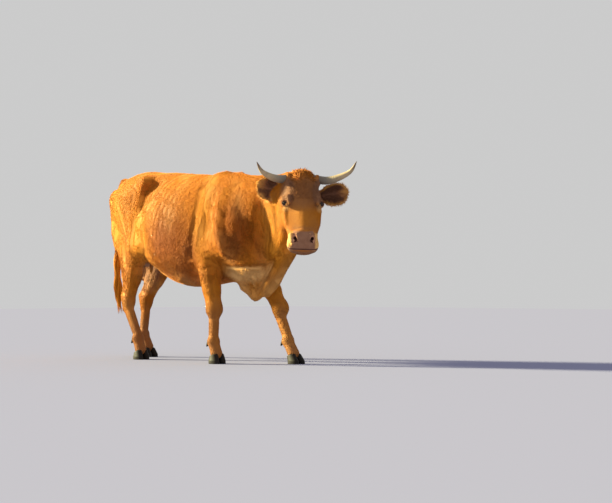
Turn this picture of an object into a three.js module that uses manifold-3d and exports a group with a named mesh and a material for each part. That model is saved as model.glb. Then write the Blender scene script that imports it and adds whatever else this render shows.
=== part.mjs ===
// A life-size standing cow: a horned beef cow with a short wheat-red coat, in a walking stance, her head
// turned to her right. Units are millimetres, +X runs from tail to head, +Y to her left, +Z up.
// The flesh is one implicit body, a smooth union of muscles and bones round a skeleton of named joints.
// Each named part is that body inside its own region, so the parts meet face to face along thin cuts.
import * as THREE from "three";
import { mergeVertices } from "three/addons/utils/BufferGeometryUtils.js";
import Module from "manifold-3d";

const wasm = await Module();
wasm.setup();

// ---------------------------------------------------------------- driving dimensions
const withersHeight = 1372;
const croupHeight = 1428;
const bellyHeight = 540;
const gap = 0.4; // clear space between parts that meet
const hornBase = 29; // radius
const eyeRadius = 19;
const coatColour = 0xb5651d;

// Skeleton: joint centres of each leg from the body down to the tip of the toe.
const rightFore = {
  side: -1,
  shoulder: [700, -200, 905],
  elbow: [450, -190, 775],
  knee: [522, -188, 388],
  fetlock: [516, -188, 155],
  toe: [575, -188, 0],
};
const leftFore = {
  side: 1,
  shoulder: [745, 200, 915],
  elbow: [572, 190, 748],
  knee: [808, 188, 392],
  fetlock: [885, 188, 160],
  toe: [990, 188, 0],
};
const rightHind = {
  side: -1,
  hip: [-500, -165, 1180],
  stifle: [-290, -215, 845],
  hock: [-487, -165, 442],
  fetlock: [-384, -157, 155],
  toe: [-322, -157, 0],
};
const leftHind = {
  side: 1,
  hip: [-520, 165, 1175],
  stifle: [-448, 210, 835],
  hock: [-680, 160, 442],
  fetlock: [-704, 154, 176],
  toe: [-604, 154, 0],
};

// ---------------------------------------------------------------- points and turns
const degree = Math.PI / 180;
const add = (a, b) => a.map((v, i) => v + b[i]);
const sub = (a, b) => a.map((v, i) => v - b[i]);
const scale = (a, s) => a.map((v) => v * s);
const mix = (a, b, t) => a.map((v, i) => v + (b[i] - v) * t);

/** Rows of the matrix that turns a vector from a part's own axes: nose-down pitch, then roll, then yaw. */
function turned(pitch, roll = 0, yaw = 0) {
  const m = new THREE.Matrix4().makeRotationZ(yaw * degree);
  m.multiply(new THREE.Matrix4().makeRotationX(roll * degree));
  m.multiply(new THREE.Matrix4().makeRotationY(pitch * degree));
  const e = m.elements;
  return [
    [e[0], e[4], e[8]],
    [e[1], e[5], e[9]],
    [e[2], e[6], e[10]],
  ];
}
const apply = (rows, v) => rows.map((r) => r[0] * v[0] + r[1] * v[1] + r[2] * v[2]);
const unturn = (rows, v) =>
  [0, 1, 2].map((i) => rows[0][i] * v[0] + rows[1][i] * v[1] + rows[2][i] * v[2]);

// ---------------------------------------------------------------- implicit shapes, as distances in mm
/** An ellipsoid; turn is pitch, roll and yaw in degrees. */
function blob(centre, radii, turn = [0, 0, 0]) {
  const rows = turned(...turn);
  const [rx, ry, rz] = radii;
  return (x, y, z) => {
    const [a, b, c] = unturn(rows, [x - centre[0], y - centre[1], z - centre[2]]);
    const near = Math.hypot(a / rx, b / ry, c / rz);
    const slope = Math.hypot(a / (rx * rx), b / (ry * ry), c / (rz * rz));
    return slope < 1e-9 ? -Math.min(rx, ry, rz) : (near * (near - 1)) / slope;
  };
}

/** A limb: a cone with round ends; thin scales its width along y. */
function limb(from, to, fromRadius, toRadius, thin = 1) {
  const d = sub(to, from);
  d[1] /= thin;
  const long = d[0] * d[0] + d[1] * d[1] + d[2] * d[2];
  return (x, y, z) => {
    const p = [x - from[0], (y - from[1]) / thin, z - from[2]];
    const t = Math.min(1, Math.max(0, (p[0] * d[0] + p[1] * d[1] + p[2] * d[2]) / long));
    const away = Math.hypot(p[0] - d[0] * t, p[1] - d[1] * t, p[2] - d[2] * t);
    return (away - fromRadius - (toRadius - fromRadius) * t) * Math.sqrt(thin);
  };
}

/** Smooth values of a station table at x: a Catmull-Rom curve through its columns. */
function stationsAt(table) {
  return (x) => {
    const last = table.length - 1;
    const at = Math.min(table[last][0], Math.max(table[0][0], x));
    let i = 0;
    while (i < last - 1 && table[i + 1][0] < at) i++;
    const rows = [-1, 0, 1, 2].map((k) => table[Math.min(last, Math.max(0, i + k))]);
    const t = (at - rows[1][0]) / (rows[2][0] - rows[1][0]);
    return rows[1].map((_, c) => {
      const [a, b, d, e] = rows.map((r) => r[c]);
      return b + 0.5 * t * (d - a + t * (2 * a - 5 * b + 4 * d - e + t * (3 * (b - d) + e - a)));
    });
  };
}

/** A barrel along x; its stations give x, top, bottom, half width and the height of the widest line. */
function barrel(table, roundness) {
  const at = stationsAt(table);
  return (x, y, z) => {
    const [, top, bottom, half, widest] = at(x);
    const over = Math.max(table[0][0] - x, x - table[table.length - 1][0], 0);
    const up = z - widest;
    const reach = up > 0 ? top - widest : widest - bottom;
    const across = Math.pow(Math.abs(y) / half, roundness);
    const q = Math.pow(across + Math.pow(Math.abs(up) / reach, roundness), 1 / roundness);
    const far = Math.hypot(y, up);
    const d = q < 1e-6 ? -Math.min(half, reach) : far * (1 - 1 / q);
    return over > 0 ? Math.hypot(Math.max(d, 0), over) : d;
  };
}

/** Two distances joined with a fillet about k wide. */
function blend(a, b, k) {
  const h = Math.max(k - Math.abs(a - b), 0);
  return Math.min(a, b) - (h * h) / (4 * k);
}

/** A body made of [shape, fillet] pairs, with a third entry "cut" for a hollow. */
function bodyOf(pieces) {
  return (x, y, z) => {
    let d = 1e4;
    for (const [shape, k, cut] of pieces) {
      const s = shape(x, y, z);
      d = cut ? -blend(-d, s, k) : blend(d, s, k);
    }
    return d;
  };
}

// ---------------------------------------------------------------- the flesh
// x, topline, belly line, half width, height of the widest line
const trunkStations = [
  [-660, croupHeight - 82, 1040, 95, 1230],
  [-520, croupHeight - 26, 860, 150, 1130],
  [-380, croupHeight - 10, 752, 205, 1050],
  [-220, croupHeight - 36, 660, 262, 1000],
  [-60, croupHeight - 40, 580, 314, 965],
  [90, croupHeight - 44, bellyHeight + 2, 338, 945],
  [230, withersHeight + 6, bellyHeight, 334, 935],
  [380, withersHeight - 10, 558, 296, 940],
  [520, withersHeight - 16, 572, 236, 950],
  [660, withersHeight - 60, 566, 190, 930],
  [780, withersHeight - 150, 600, 130, 900],
];

/** Barrel of the ribs and belly, with the pelvis, hook bones and pin bones. */
function trunkPieces() {
  const pieces = [
    [barrel(trunkStations, 2.2), 1],
    [blob([-470, 0, 1258], [262, 222, 162], [-5, 0, 0]), 70],
    [blob([-190, 0, 1336], [250, 222, 64]), 70], // loin
    [limb([-590, 0, 1345], [-715, 0, 1325], 58, 42), 60], // root of the tail
    [limb([-668, 0, 1265], [-560, 0, 950], 62, 90, 0.9), 60], // between the thighs
    [blob([650, 0, 800], [165, 178, 220], [-20, 0, 0]), 80], // breast
  ];
  for (const side of [-1, 1]) {
    pieces.push([blob([-250, side * 190, 1322], [92, 54, 54], [0, 8 * side, 16 * side]), 80]);
    pieces.push([blob([-727, side * 98, 1238], [50, 48, 66]), 60]);
    pieces.push([blob([-120, side * 330, 1235], [95, 62, 92], [0, 0, -16 * side]), 80, "cut"]);
  }
  return pieces;
}

/** The shoulder blade, point of the shoulder, upper arm and elbow on one side. */
function shoulderPieces({ side, shoulder, elbow, knee }) {
  const bladeTop = [shoulder[0] - 240, side * 78, withersHeight - 92];
  const blade = add(shoulder, [-45, -side * 22, 40]);
  return [
    [limb(bladeTop, blade, 80, 112, 0.62), 70],
    [limb(add(bladeTop, [-50, side * 40, -150]), add(elbow, [-10, -side * 8, 90]), 112, 96, 0.58), 80],
    [blob(add(shoulder, [-40, -side * 18, -4]), [84, 60, 96]), 80],
    [limb(add(shoulder, [-20, -side * 60, -40]), add(shoulder, [70, -side * 130, -190]), 96, 84, 0.9), 80],
    [limb(add(shoulder, [-60, -side * 14, -30]), add(elbow, [10, 0, 10]), 100, 82, 0.72), 60],
    [limb(add(elbow, [-58, 0, 24]), mix(elbow, knee, 0.35), 44, 56), 50],
  ];
}

/** Forearm, knee, cannon, fetlock and pastern. */
function forelegPieces({ elbow, knee, fetlock, toe }) {
  const coronet = mix(fetlock, toe, 0.55);
  return [
    [limb(elbow, mix(elbow, knee, 0.62), 86, 72, 0.92), 40],
    [limb(mix(elbow, knee, 0.42), knee, 75, 58), 30],
    [blob(add(knee, [3, 0, -2]), [59, 60, 74], [8, 0, 0]), 26],
    [limb(add(knee, [-32, 0, 22]), add(knee, [-27, 0, -26]), 27, 25), 22],
    [limb(add(knee, [3, 0, -48]), add(fetlock, [7, 0, 22]), 39, 33), 20],
    [limb(add(knee, [-28, 0, -56]), add(fetlock, [-21, 0, 22]), 22, 24), 18],
    [blob(fetlock, [42, 47, 46]), 20],
    [limb(fetlock, coronet, 39, 43, 1.1), 18],
  ];
}

/** Rump, thigh, stifle and the hamstrings behind them. */
function thighPieces({ side, hip, stifle, hock }) {
  const gaskin = mix(stifle, hock, 0.5);
  return [
    [blob(add(hip, [30, -side * 22, -70]), [215, 105, 235], [-14, 0, 0]), 80],
    [limb(add(hip, [60, side * 2, -20]), add(stifle, [-34, -side * 12, 10]), 150, 112, 0.62), 80],
    [limb([-692, side * 92, 1196], mix([hip[0] - 128, side * 122, 900], stifle, 0.15), 84, 88, 0.95), 70],
    [limb([hip[0] - 96, side * 120, 960], add(gaskin, [-36, side * -4, 40]), 98, 62, 0.85), 70],
    [blob(add(stifle, [-4, -side * 8, 0]), [84, 62, 96], [-25, 0, 0]), 50],
    [limb(add(stifle, [30, -side * 20, 60]), [-150, side * 205, 770], 44, 36, 0.6), 80], // fold of the flank
  ];
}

/** Gaskin, hock with its point, cannon, fetlock and pastern. */
function hindlegPieces({ stifle, hock, fetlock, toe }) {
  const point = add(hock, [-58, 0, 42]);
  const coronet = mix(fetlock, toe, 0.55);
  return [
    [limb(add(stifle, [-30, 0, -20]), mix(stifle, hock, 0.55), 92, 68, 0.9), 50],
    [limb(mix(stifle, hock, 0.45), hock, 72, 49, 0.92), 36],
    [limb(add(mix(stifle, hock, 0.35), [-86, 0, 0]), point, 48, 24, 0.9), 44],
    [limb(point, add(hock, [-34, 0, -56]), 26, 30), 26],
    [blob(hock, [53, 49, 72], [-18, 0, 0]), 30],
    [limb(add(hock, [0, 0, -45]), add(fetlock, [6, 0, 22]), 37, 32), 20],
    [limb(add(hock, [-33, 0, -60]), add(fetlock, [-20, 0, 22]), 22, 23), 18],
    [blob(fetlock, [40, 46, 44]), 20],
    [limb(fetlock, coronet, 38, 42, 1.1), 18],
  ];
}

// ---------------------------------------------------------------- neck, dewlap and brisket
const nape = [1082, 44, 1196];
// Hanging edge of the dewlap from the throat round the brisket to the breastbone, with its thickness.
const dewlapEdge = [
  [[1100, 45, 962], 54],
  [[1034, 47, 805], 42],
  [[950, 44, 694], 40],
  [[905, 38, 594], 42],
  [[850, 22, 536], 48],
  [[748, 4, 494], 46],
  [[640, 0, 548], 50],
];
function neckPieces() {
  const pieces = [
    [limb([610, 0, 1060], [850, 16, 1118], 248, 192, 0.84), 90],
    [limb([820, 14, 1112], nape, 196, 132, 0.72), 70],
    [limb([500, 0, 1276], [1040, 42, 1226], 74, 60, 0.9), 80],
    [limb([620, 0, 920], [1010, 38, 1040], 200, 112, 0.84), 80],
    [limb([730, 0, 810], [950, 30, 812], 178, 128, 0.72), 90],
  ];
  dewlapEdge.slice(1).forEach(([point, r], i) => {
    const [last, lastRadius] = dewlapEdge[i];
    const root = [820, 20, 900];
    pieces.push([limb(last, point, lastRadius, r, 0.78), 40]);
    pieces.push([limb(mix(last, root, 0.3), mix(point, root, 0.3), lastRadius + 36, r + 36, 0.66), 60]);
  });
  return pieces;
}

// ---------------------------------------------------------------- head
// Own axes: x down the face from the poll to the nose, y left, z out of the forehead.
const head = { poll: [1194, 31, 1342], pitch: 60.5, roll: -1.6, yaw: -40, size: 1.06 };
const headRows = turned(head.pitch, head.roll, head.yaw);
const onHead = (p) => add(head.poll, apply(headRows, scale(p, head.size)));
const headShape = (shape) => (x, y, z) =>
  head.size *
  shape(...scale(unturn(headRows, [x - head.poll[0], y - head.poll[1], z - head.poll[2]]), 1 / head.size));
// distance down the face, profile, jaw line, half width, height of the widest line
const headStations = [
  [-44, -38, -160, 70, -100],
  [0, 10, -200, 96, -78],
  [60, 16, -232, 106, -75],
  [130, 8, -245, 111, -78],
  [225, -6, -240, 119, -92],
  [300, -22, -220, 119, -118],
  [360, -32, -198, 113, -118],
  [410, -38, -184, 100, -114],
  [450, -40, -180, 98, -114],
  [480, -50, -184, 104, -118],
  [506, -72, -182, 103, -124],
  [528, -100, -174, 88, -134],
  [546, -126, -160, 50, -142],
];
function headPieces() {
  const pieces = [
    [barrel(headStations, 2.15), 1],
    [blob([488, 0, -84], [46, 66, 30], [40, 0, 0]), 20], // nose pad
    [blob([492, 0, -160], [46, 56, 26], [0, 0, 0]), 20], // chin
  ];
  for (const side of [-1, 1]) {
    pieces.push([blob([220, side * 112, -64], [54, 26, 38], [0, 0, -8 * side]), 24]); // orbit
    pieces.push([blob([215, side * 78, -170], [90, 38, 66], [14, 0, 0]), 40]); // cheek
    pieces.push([blob([40, side * 90, -52], [40, 34, 38]), 30]); // boss of the horn
    pieces.push([blob([494, side * 48, -80], [36, 28, 25], [35, 0, 12 * side]), 18]); // wing of the nostril
    pieces.push([blob([122, side * 96, -116], [38, 32, 38]), 26]); // root of the ear
  }
  return pieces;
}

const headOnly = headShape(bodyOf(headPieces()));
const whole = bodyOf([
  ...trunkPieces(),
  ...[rightFore, leftFore].flatMap(shoulderPieces),
  ...[rightHind, leftHind].flatMap(thighPieces),
  ...neckPieces(),
  [headOnly, 50],
  [limb(nape, onHead([95, 0, -150]), 138, 100, 0.85), 50],
  ...[rightFore, leftFore].flatMap(forelegPieces),
  ...[rightHind, leftHind].flatMap(hindlegPieces),
]);

// ---------------------------------------------------------------- from implicit shape to solid
/** The closed surface of a distance field inside a box, one vertex for each cell that it crosses. */
function surface(field, low, high, cell) {
  const count = low.map((v, i) => Math.ceil((high[i] - v) / cell[i]) + 1);
  const at = (i, j, k) => (i * count[1] + j) * count[2] + k;
  const value = new Float32Array(count[0] * count[1] * count[2]);
  for (let i = 0; i < count[0]; i++)
    for (let j = 0; j < count[1]; j++)
      for (let k = 0; k < count[2]; k++) {
        const edge = [i, j, k].some((v, a) => v === 0 || v === count[a] - 1);
        const p = [i, j, k].map((v, a) => low[a] + v * cell[a]);
        const d = field(...p);
        value[at(i, j, k)] = edge ? Math.max(d, 0.05 * Math.min(...cell)) : d;
      }
  const vertices = [];
  const faces = [];
  const vertexOf = new Map();
  const corners = [0, 1, 2, 3, 4, 5, 6, 7].map((c) => [c & 1, (c >> 1) & 1, (c >> 2) & 1]);
  for (let i = 0; i < count[0] - 1; i++)
    for (let j = 0; j < count[1] - 1; j++)
      for (let k = 0; k < count[2] - 1; k++) {
        const v = corners.map(([a, b, c]) => value[at(i + a, j + b, k + c)]);
        const inside = v.filter((d) => d < 0).length;
        if (inside === 0 || inside === 8) continue;
        const sum = [0, 0, 0];
        let crossings = 0;
        for (let a = 0; a < 8; a++)
          for (const bit of [1, 2, 4]) {
            const b = a | bit;
            if (b === a || v[a] < 0 === v[b] < 0) continue;
            const t = v[a] / (v[a] - v[b]);
            corners[a].forEach((c, axis) => (sum[axis] += c + (corners[b][axis] - c) * t));
            crossings++;
          }
        vertexOf.set(at(i, j, k), vertices.length / 3);
        [i, j, k].forEach((n, a) => vertices.push(low[a] + (n + sum[a] / crossings) * cell[a]));
      }
  const step = [at(1, 0, 0), at(0, 1, 0), 1];
  for (let i = 0; i < count[0] - 1; i++)
    for (let j = 0; j < count[1] - 1; j++)
      for (let k = 0; k < count[2] - 1; k++)
        for (let a = 0; a < 3; a++) {
          const ijk = [i, j, k];
          if (ijk[(a + 1) % 3] === 0 || ijk[(a + 2) % 3] === 0) continue;
          const here = at(i, j, k);
          const first = value[here] < 0;
          if (first === value[here + step[a]] < 0) continue;
          const [u, w] = [step[(a + 1) % 3], step[(a + 2) % 3]];
          const quad = [here, here - u, here - u - w, here - w].map((c) => vertexOf.get(c));
          if (!first) quad.reverse();
          faces.push(quad[0], quad[1], quad[2], quad[0], quad[2], quad[3]);
        }
  settle(field, vertices, low, high);
  return solid(vertices, faces);
}

/** Moves vertices onto the field's surface, apart from those on the box's own walls. */
function settle(field, vertices, low, high) {
  const h = 0.5;
  for (let n = 0; n < vertices.length; n += 3)
    for (let pass = 0; pass < 3; pass++) {
      const p = vertices.slice(n, n + 3);
      const d = field(...p);
      const slope = [0, 1, 2].map((a) => {
        const q = [...p];
        q[a] += h;
        return (field(...q) - d) / h;
      });
      const steep = slope.reduce((s, v) => s + v * v, 0);
      if (steep < 0.05 || Math.abs(d) > 40) continue;
      const to = p.map((v, a) => v - (0.9 * d * slope[a]) / steep);
      if (to.every((v, a) => v > low[a] && v < high[a])) to.forEach((v, a) => (vertices[n + a] = v));
    }
}

const solid = (vertices, faces) =>
  new wasm.Manifold(
    new wasm.Mesh({
      numProp: 3,
      vertProperties: new Float32Array(vertices),
      triVerts: new Uint32Array(faces),
    }),
  );

/** A three.js geometry as a solid. */
function solidOf(geometry) {
  const bare = geometry.clone();
  bare.deleteAttribute("normal");
  bare.deleteAttribute("uv");
  const merged = mergeVertices(bare, 1e-3);
  return solid(merged.attributes.position.array, merged.index.array);
}

const vast = 6000;
/** Everything past a plane, on the side that its normal points to; shift moves the plane along the normal. */
function beyond(point, normal, shift = 0) {
  const out = new THREE.Vector3(...normal).normalize();
  const box = new THREE.BoxGeometry(vast, vast, vast).translate(0, 0, vast / 2 + shift);
  box.applyQuaternion(new THREE.Quaternion().setFromUnitVectors(new THREE.Vector3(0, 0, 1), out));
  return solidOf(box.translate(...point));
}
/** The room inside a list of [point, normal] planes, each moved out by grow. */
const room = (planes, grow = 0) =>
  planes.map(([point, normal]) => beyond(point, normal, -grow)).reduce((a, b) => a.intersect(b));
const largest = (body) => body.decompose().sort((a, b) => b.volume() - a.volume())[0];

/** A closed sleeve through rings of points, each ring of the same even length. */
function sleeve(rings) {
  const n = rings[0].length;
  const vertices = rings.flat(2);
  const faces = [];
  for (let i = 0; i + 1 < rings.length; i++)
    for (let j = 0; j < n; j++) {
      const [a, b] = [i * n + j, i * n + ((j + 1) % n)];
      faces.push(a, b, b + n, a, b + n, a + n);
    }
  const last = (rings.length - 1) * n;
  for (let j = 0; j < n / 2 - 1; j++) {
    // each end closes as a strip between points that face each other, so a C-shaped end closes flat too
    const [a, b, c, d] = [j, j + 1, n - 2 - j, n - 1 - j];
    faces.push(a, d, c, a, c, b, last + a, last + c, last + d, last + a, last + b, last + c);
  }
  const body = solid(vertices, faces);
  return body.volume() < 0 ? solid(vertices, faces.reverse()) : body;
}

/** A round tube along a curve whose radius changes; grow makes it that much thicker and longer. */
function tube(points, radiusAt, steps, sides, grow = 0, from = 0, to = 1) {
  const knots = points.map((p) => new THREE.Vector3(...p));
  const curve = new THREE.CatmullRomCurve3(knots, false, "centripetal");
  const rings = [];
  let across = new THREE.Vector3(0, 1, 0.2);
  for (let i = 0; i <= steps; i++) {
    const u = from + ((to - from) * i) / steps;
    const [at, along] = [curve.getPointAt(u), curve.getTangentAt(u)];
    if (i === 0) at.addScaledVector(along, -grow);
    if (i === steps) at.addScaledVector(along, grow);
    across = across.clone().addScaledVector(along, -across.dot(along)).normalize();
    const third = new THREE.Vector3().crossVectors(along, across);
    const r = radiusAt(u) + grow;
    rings.push(
      Array.from({ length: sides }, (_, j) => {
        const a = (2 * Math.PI * j) / sides;
        const point = at.clone().addScaledVector(across, r * Math.cos(a));
        return point.addScaledVector(third, r * Math.sin(a)).toArray();
      }),
    );
  }
  return sleeve(rings);
}
const hull = (points) => wasm.Manifold.hull(points);
const ball = (centre, r) =>
  solidOf(new THREE.SphereGeometry(r, 12, 8).rotateX(Math.PI / 2).translate(...centre));

// ---------------------------------------------------------------- the named parts
const meshes = [];
/** Adds one solid as a named mesh in its own colour. */
function part(name, body, colour, roughness = 0.85) {
  const made = body.getMesh();
  const flat = new Float32Array(made.numVert * 3);
  for (let i = 0; i < made.numVert; i++)
    flat.set(made.vertProperties.subarray(i * made.numProp, i * made.numProp + 3), i * 3);
  const geometry = new THREE.BufferGeometry()
    .setAttribute("position", new THREE.BufferAttribute(flat, 3))
    .setIndex(new THREE.BufferAttribute(made.triVerts, 1))
    .toNonIndexed();
  geometry.computeVertexNormals();
  const mesh = new THREE.Mesh(geometry, new THREE.MeshStandardMaterial({ color: colour, roughness }));
  mesh.name = name;
  meshes.push(mesh);
}

// Where the flesh is parted. Each leg's own room lies under a plane that slants out and up from the armpit
// or the groin, between a plane in front of it and one behind. A hind leg has a second, below the hock.
const behind = (x) => [[x, 0, 0], [1, 0, 0]];
const before = (x) => [[x, 0, 0], [-1, 0, 0]];
const outside = (y, side) => [[0, side * y, 0], [0, side, 0]];
const armpit = (side) => [[0, side * 110, 590], [0, side * 0.814, -0.581]];
const groin = (side) => [[0, side * 60, 780], [0, side * 0.534, -0.846]];
const flank = [[-175, 0, 900], [-0.87, 0, 0.493]];
const hockTop = 500;
const overlapOfRooms = 20;
const above = (z) => [[0, 0, z], [0, 0, 1]];
const below = (z) => [[0, 0, z], [0, 0, -1]];
const foreRoom = ({ side }, [back, front], inner) => [
  [armpit(side), behind(back), before(front), outside(inner, side)],
];
const hindRoom = ({ side }, [back, front], inner) => [
  [groin(side), flank, above(hockTop - overlapOfRooms), behind(back), outside(inner, side)],
  [below(hockTop), behind(back), before(front), outside(inner, side)],
];
const limbs = [
  { name: "foreleg_right", leg: rightFore, rooms: foreRoom(rightFore, [345, 612], 25) },
  { name: "foreleg_left", leg: leftFore, rooms: foreRoom(leftFore, [445, 1060], 35) },
  { name: "hindleg_right", leg: rightHind, rooms: hindRoom(rightHind, [-850, -280], 25) },
  { name: "hindleg_left", leg: leftHind, rooms: hindRoom(leftHind, [-890, -480], 25) },
];
const legRoom = (limb, grow = 0) =>
  limb.rooms.map((planes) => room(planes, grow)).reduce((a, b) => a.add(b));
const neckCut = [[640, 0, 1050], [0.928, 0, 0.371]];
const headRoom = [
  [onHead([-35, 0, -20]), apply(headRows, [0.804, 0, 0.595])],
  [onHead([100, 0, -275]), apply(headRows, [-0.179, 0, 0.984])],
  [onHead([0, -150, 0]), apply(headRows, [0, 1, 0])],
  [onHead([0, 150, 0]), apply(headRows, [0, -1, 0])],
];
const backwards = ([point, normal]) => [point, scale(normal, -1)];

// Udder, tail, horns, ears and eyes, with a slightly larger twin of each that clears its seat in the flesh.
const teat = (side, end) =>
  limb([-425 + end * 62, side * 42, 720], [-423 + end * 66, side * 48, 660], 17, 11);
const udderShape = bodyOf([
  [blob([-430, 0, 785], [150, 108, 92], [-6, 0, 0]), 1],
  ...[-1, 1].flatMap((side) => [-1, 1].map((end) => [teat(side, end), 16])),
]);
const udder = (grow) =>
  surface((...p) => udderShape(...p) - grow, [-610, -140, 630], [-250, 140, 910], [30, 30, 30]).simplify(3);

const tailPath = [
  [-670, 0, 1330], [-742, 0, 1352], [-792, -4, 1300], [-808, -16, 1190], [-802, -34, 1000],
  [-790, -50, 800], [-781, -52, 660], [-776, -50, 520], [-770, -42, 400], [-766, -36, 338],
];
const switchStart = 0.6;
const tailRadius = (u) => 40 - 24 * Math.min(1, u / 0.35);
/** Radius of the switch of hair: full in the middle, drawn in to its end. */
const switchRadius = (u) => {
  const v = (u - switchStart) / (1 - switchStart);
  return 17 + 15 * Math.sin(Math.PI * Math.min(1, v * 1.25) * 0.8) - 44 * Math.max(0, v - 0.72);
};
const tail = (grow) => tube(tailPath, tailRadius, 12, 8, grow, 0, switchStart);

// Each horn runs sideways from the poll, then forward and up to its tip: across, out of the face, up.
const faceOut = apply(turned(0, 0, head.yaw), [1, 0, 0]);
const faceLeft = apply(turned(0, head.roll, head.yaw), [0, 1, 0]);
const fromFace = (start, side, [across, out, up]) =>
  add(start, add(add(scale(faceLeft, side * across), scale(faceOut, out)), [0, 0, up]));
const horns = {
  1: { reach: 264, bend: [6, 56], tip: 126 },
  [-1]: { reach: 227, bend: [4, 38], tip: 98 },
};
function hornPath(side) {
  const { reach, bend, tip } = horns[side];
  const base = onHead([34, side * 92, -50]);
  return [
    [-44, -8, 0],
    [0, 0, 0],
    [62, 26, -6],
    [124, 62, bend[0]],
    [reach * 0.84, 106, bend[1]],
    [reach, 136, tip],
  ].map((p) => fromFace(base, side, p));
}
const hornRadius = (u) => hornBase * Math.pow(Math.max(0, 1 - Math.pow(u, 2.2)), 0.8) + 1.5;
const hornSolid = (side, grow) => tube(hornPath(side), hornRadius, 10, 8, grow);

// Half width of an ear along its length, as a share of its greatest.
const earOutline = stationsAt([
  [0, 0.29], [0.15, 0.49], [0.35, 0.83], [0.55, 0.98], [0.7, 1], [0.84, 0.84], [0.94, 0.5], [1, 0.12],
]);
const ears = {
  1: { root: [102, 114, -142], lift: 10, length: 208, width: 146 },
  [-1]: { root: [90, -114, -146], lift: 18, length: 200, width: 150 },
};
/** A cupped leaf on a stalk; lift is how far its tip is raised, in degrees. */
function ear(side, grow) {
  const { root: base, lift, length, width } = ears[side];
  const along = new THREE.Vector3(...scale(faceLeft, side * Math.cos(lift * degree)))
    .add(new THREE.Vector3(0, 0, Math.sin(lift * degree)))
    .addScaledVector(new THREE.Vector3(...faceOut), 0.15)
    .normalize();
  const open = new THREE.Vector3(...faceOut).multiplyScalar(0.94).add(new THREE.Vector3(0, 0, -0.24));
  open.addScaledVector(along, -open.dot(along)).normalize();
  const across = new THREE.Vector3().crossVectors(along, open);
  const root = new THREE.Vector3(...onHead(base));
  const [steps, half, sunk] = [8, 5, 26];
  const rings = [];
  for (let i = 0; i <= steps; i++) {
    const u = i / steps;
    const at = root.clone().addScaledVector(along, -sunk - grow + (length + sunk + 2 * grow) * u);
    at.addScaledVector(open, 12 * Math.sin(Math.PI * u) - 8);
    const bend = 1.35 - 0.75 * u; // half angle of its rolled section
    const radius = (earOutline(u)[1] * width) / 2 / Math.sin(bend);
    const spread = bend + (2 * grow) / radius;
    const centre = radius * (0.65 + 0.35 * u);
    const thick = (12 - 5 * u) / 2 + grow;
    const ring = [];
    for (const face of [1, -1])
      for (let j = 0; j <= half; j++) {
        const a = face * spread * (-1 + (2 * j) / half);
        const r = radius + face * thick;
        const point = at.clone().addScaledVector(across, r * Math.sin(a));
        ring.push(point.addScaledVector(open, centre - r * Math.cos(a)).toArray());
      }
    rings.push(ring);
  }
  return sleeve(rings);
}
const eyeCentre = (side) => onHead([222, side * 116, -54]);
/** The opening between the eyelids. */
const eyeOpening = (side) => {
  const lids = new THREE.SphereGeometry(1, 12, 8).scale(28, 17, 19).rotateZ(-side * 0.12);
  const rows = headRows.map((row) => [...row, 0]);
  const turn = new THREE.Matrix4().set(...rows.flat(), 0, 0, 0, 1);
  return solidOf(lids.applyMatrix4(turn).translate(...onHead([224, side * 131, -42])));
};

// ---------------------------------------------------------------- claws
/** One claw, standing on the ground under its half of the foot. */
function claw({ toe, fetlock }, side, grow) {
  const [cx, cy] = [toe[0] - 22, toe[1]];
  const coronet = mix(fetlock, toe, 0.55);
  const cleft = 3.4; // half the gap between the two claws
  const points = [];
  for (let j = 0; j < 12; j++) {
    const a = (2 * Math.PI * j) / 12;
    const [ahead, out] = [Math.cos(a), Math.sin(a)];
    const put = (x, y, z) => {
      const wider = y > 5 ? grow * out : -grow;
      points.push([x + grow * ahead, cy + side * (Math.max(y, cleft) + wider), z]);
    };
    put(cx + 4 + 52 * ahead, 29 + 26 * out * (1 - 0.16 * ahead), grow > 0 ? -2 : 0);
    put(cx + 1 + 50 * ahead, 30 + 27 * out, 22);
    put(coronet[0] + 34 * ahead, 27 + 24 * out, 66 + 10 * ahead + grow);
  }
  return hull(points);
}

/** A dewclaw: a blunt cone behind the fetlock. */
const dewclaw = ({ fetlock }, side, grow) =>
  hull(
    [[-33, 21, -8, 13], [-46, 24, -34, 7]].flatMap(([x, y, z, r]) => {
      const rounded = new THREE.SphereGeometry(r + grow, 5, 3).translate(...add(fetlock, [x, side * y, z]));
      const p = rounded.attributes.position.array;
      return Array.from({ length: p.length / 3 }, (_, i) => [p[3 * i], p[3 * i + 1], p[3 * i + 2]]);
    }),
  );

// ---------------------------------------------------------------- cutting the flesh up
const colours = { eye: 0x14100c, horn: 0xb9ad97, switchHair: 0xc98c3e, udder: 0xd9b49a, claw: 0x3b322b };
const seam = gap / 2;
const sides = [-1, 1];
const sideName = (side) => (side < 0 ? "right" : "left");
const less = (body, cutters) => cutters.reduce((a, b) => a.subtract(b), body);

const body = surface(whole, [-840, -390, -20], [1270, 390, 1480], [28, 28, 28]).simplify(8);
const legRooms = limbs.map((limb) => legRoom(limb, seam)).reduce((a, b) => a.add(b));
const trunk = largest(less(body.intersect(room([backwards(neckCut)], -seam)), [legRooms]));
part("trunk", largest(less(trunk, [tail(gap), udder(gap)])), coatColour);

const neck = body.intersect(room([neckCut], -seam));
const besideNeck = [room(headRoom, seam), legRooms, ear(-1, gap), ear(1, gap)];
part("neck", largest(less(neck, besideNeck)), coatColour);

const face = surface(whole, [960, -420, 760], [1480, 240, 1420], [20, 20, 20]).simplify(3.6);
const features = sides.flatMap((side) => [
  eyeOpening(side),
  ball(eyeCentre(side), eyeRadius + gap),
  hornSolid(side, gap),
  ear(side, gap),
]);
part("head", largest(less(largest(face.intersect(room(headRoom, -seam))), features)), coatColour);

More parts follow.
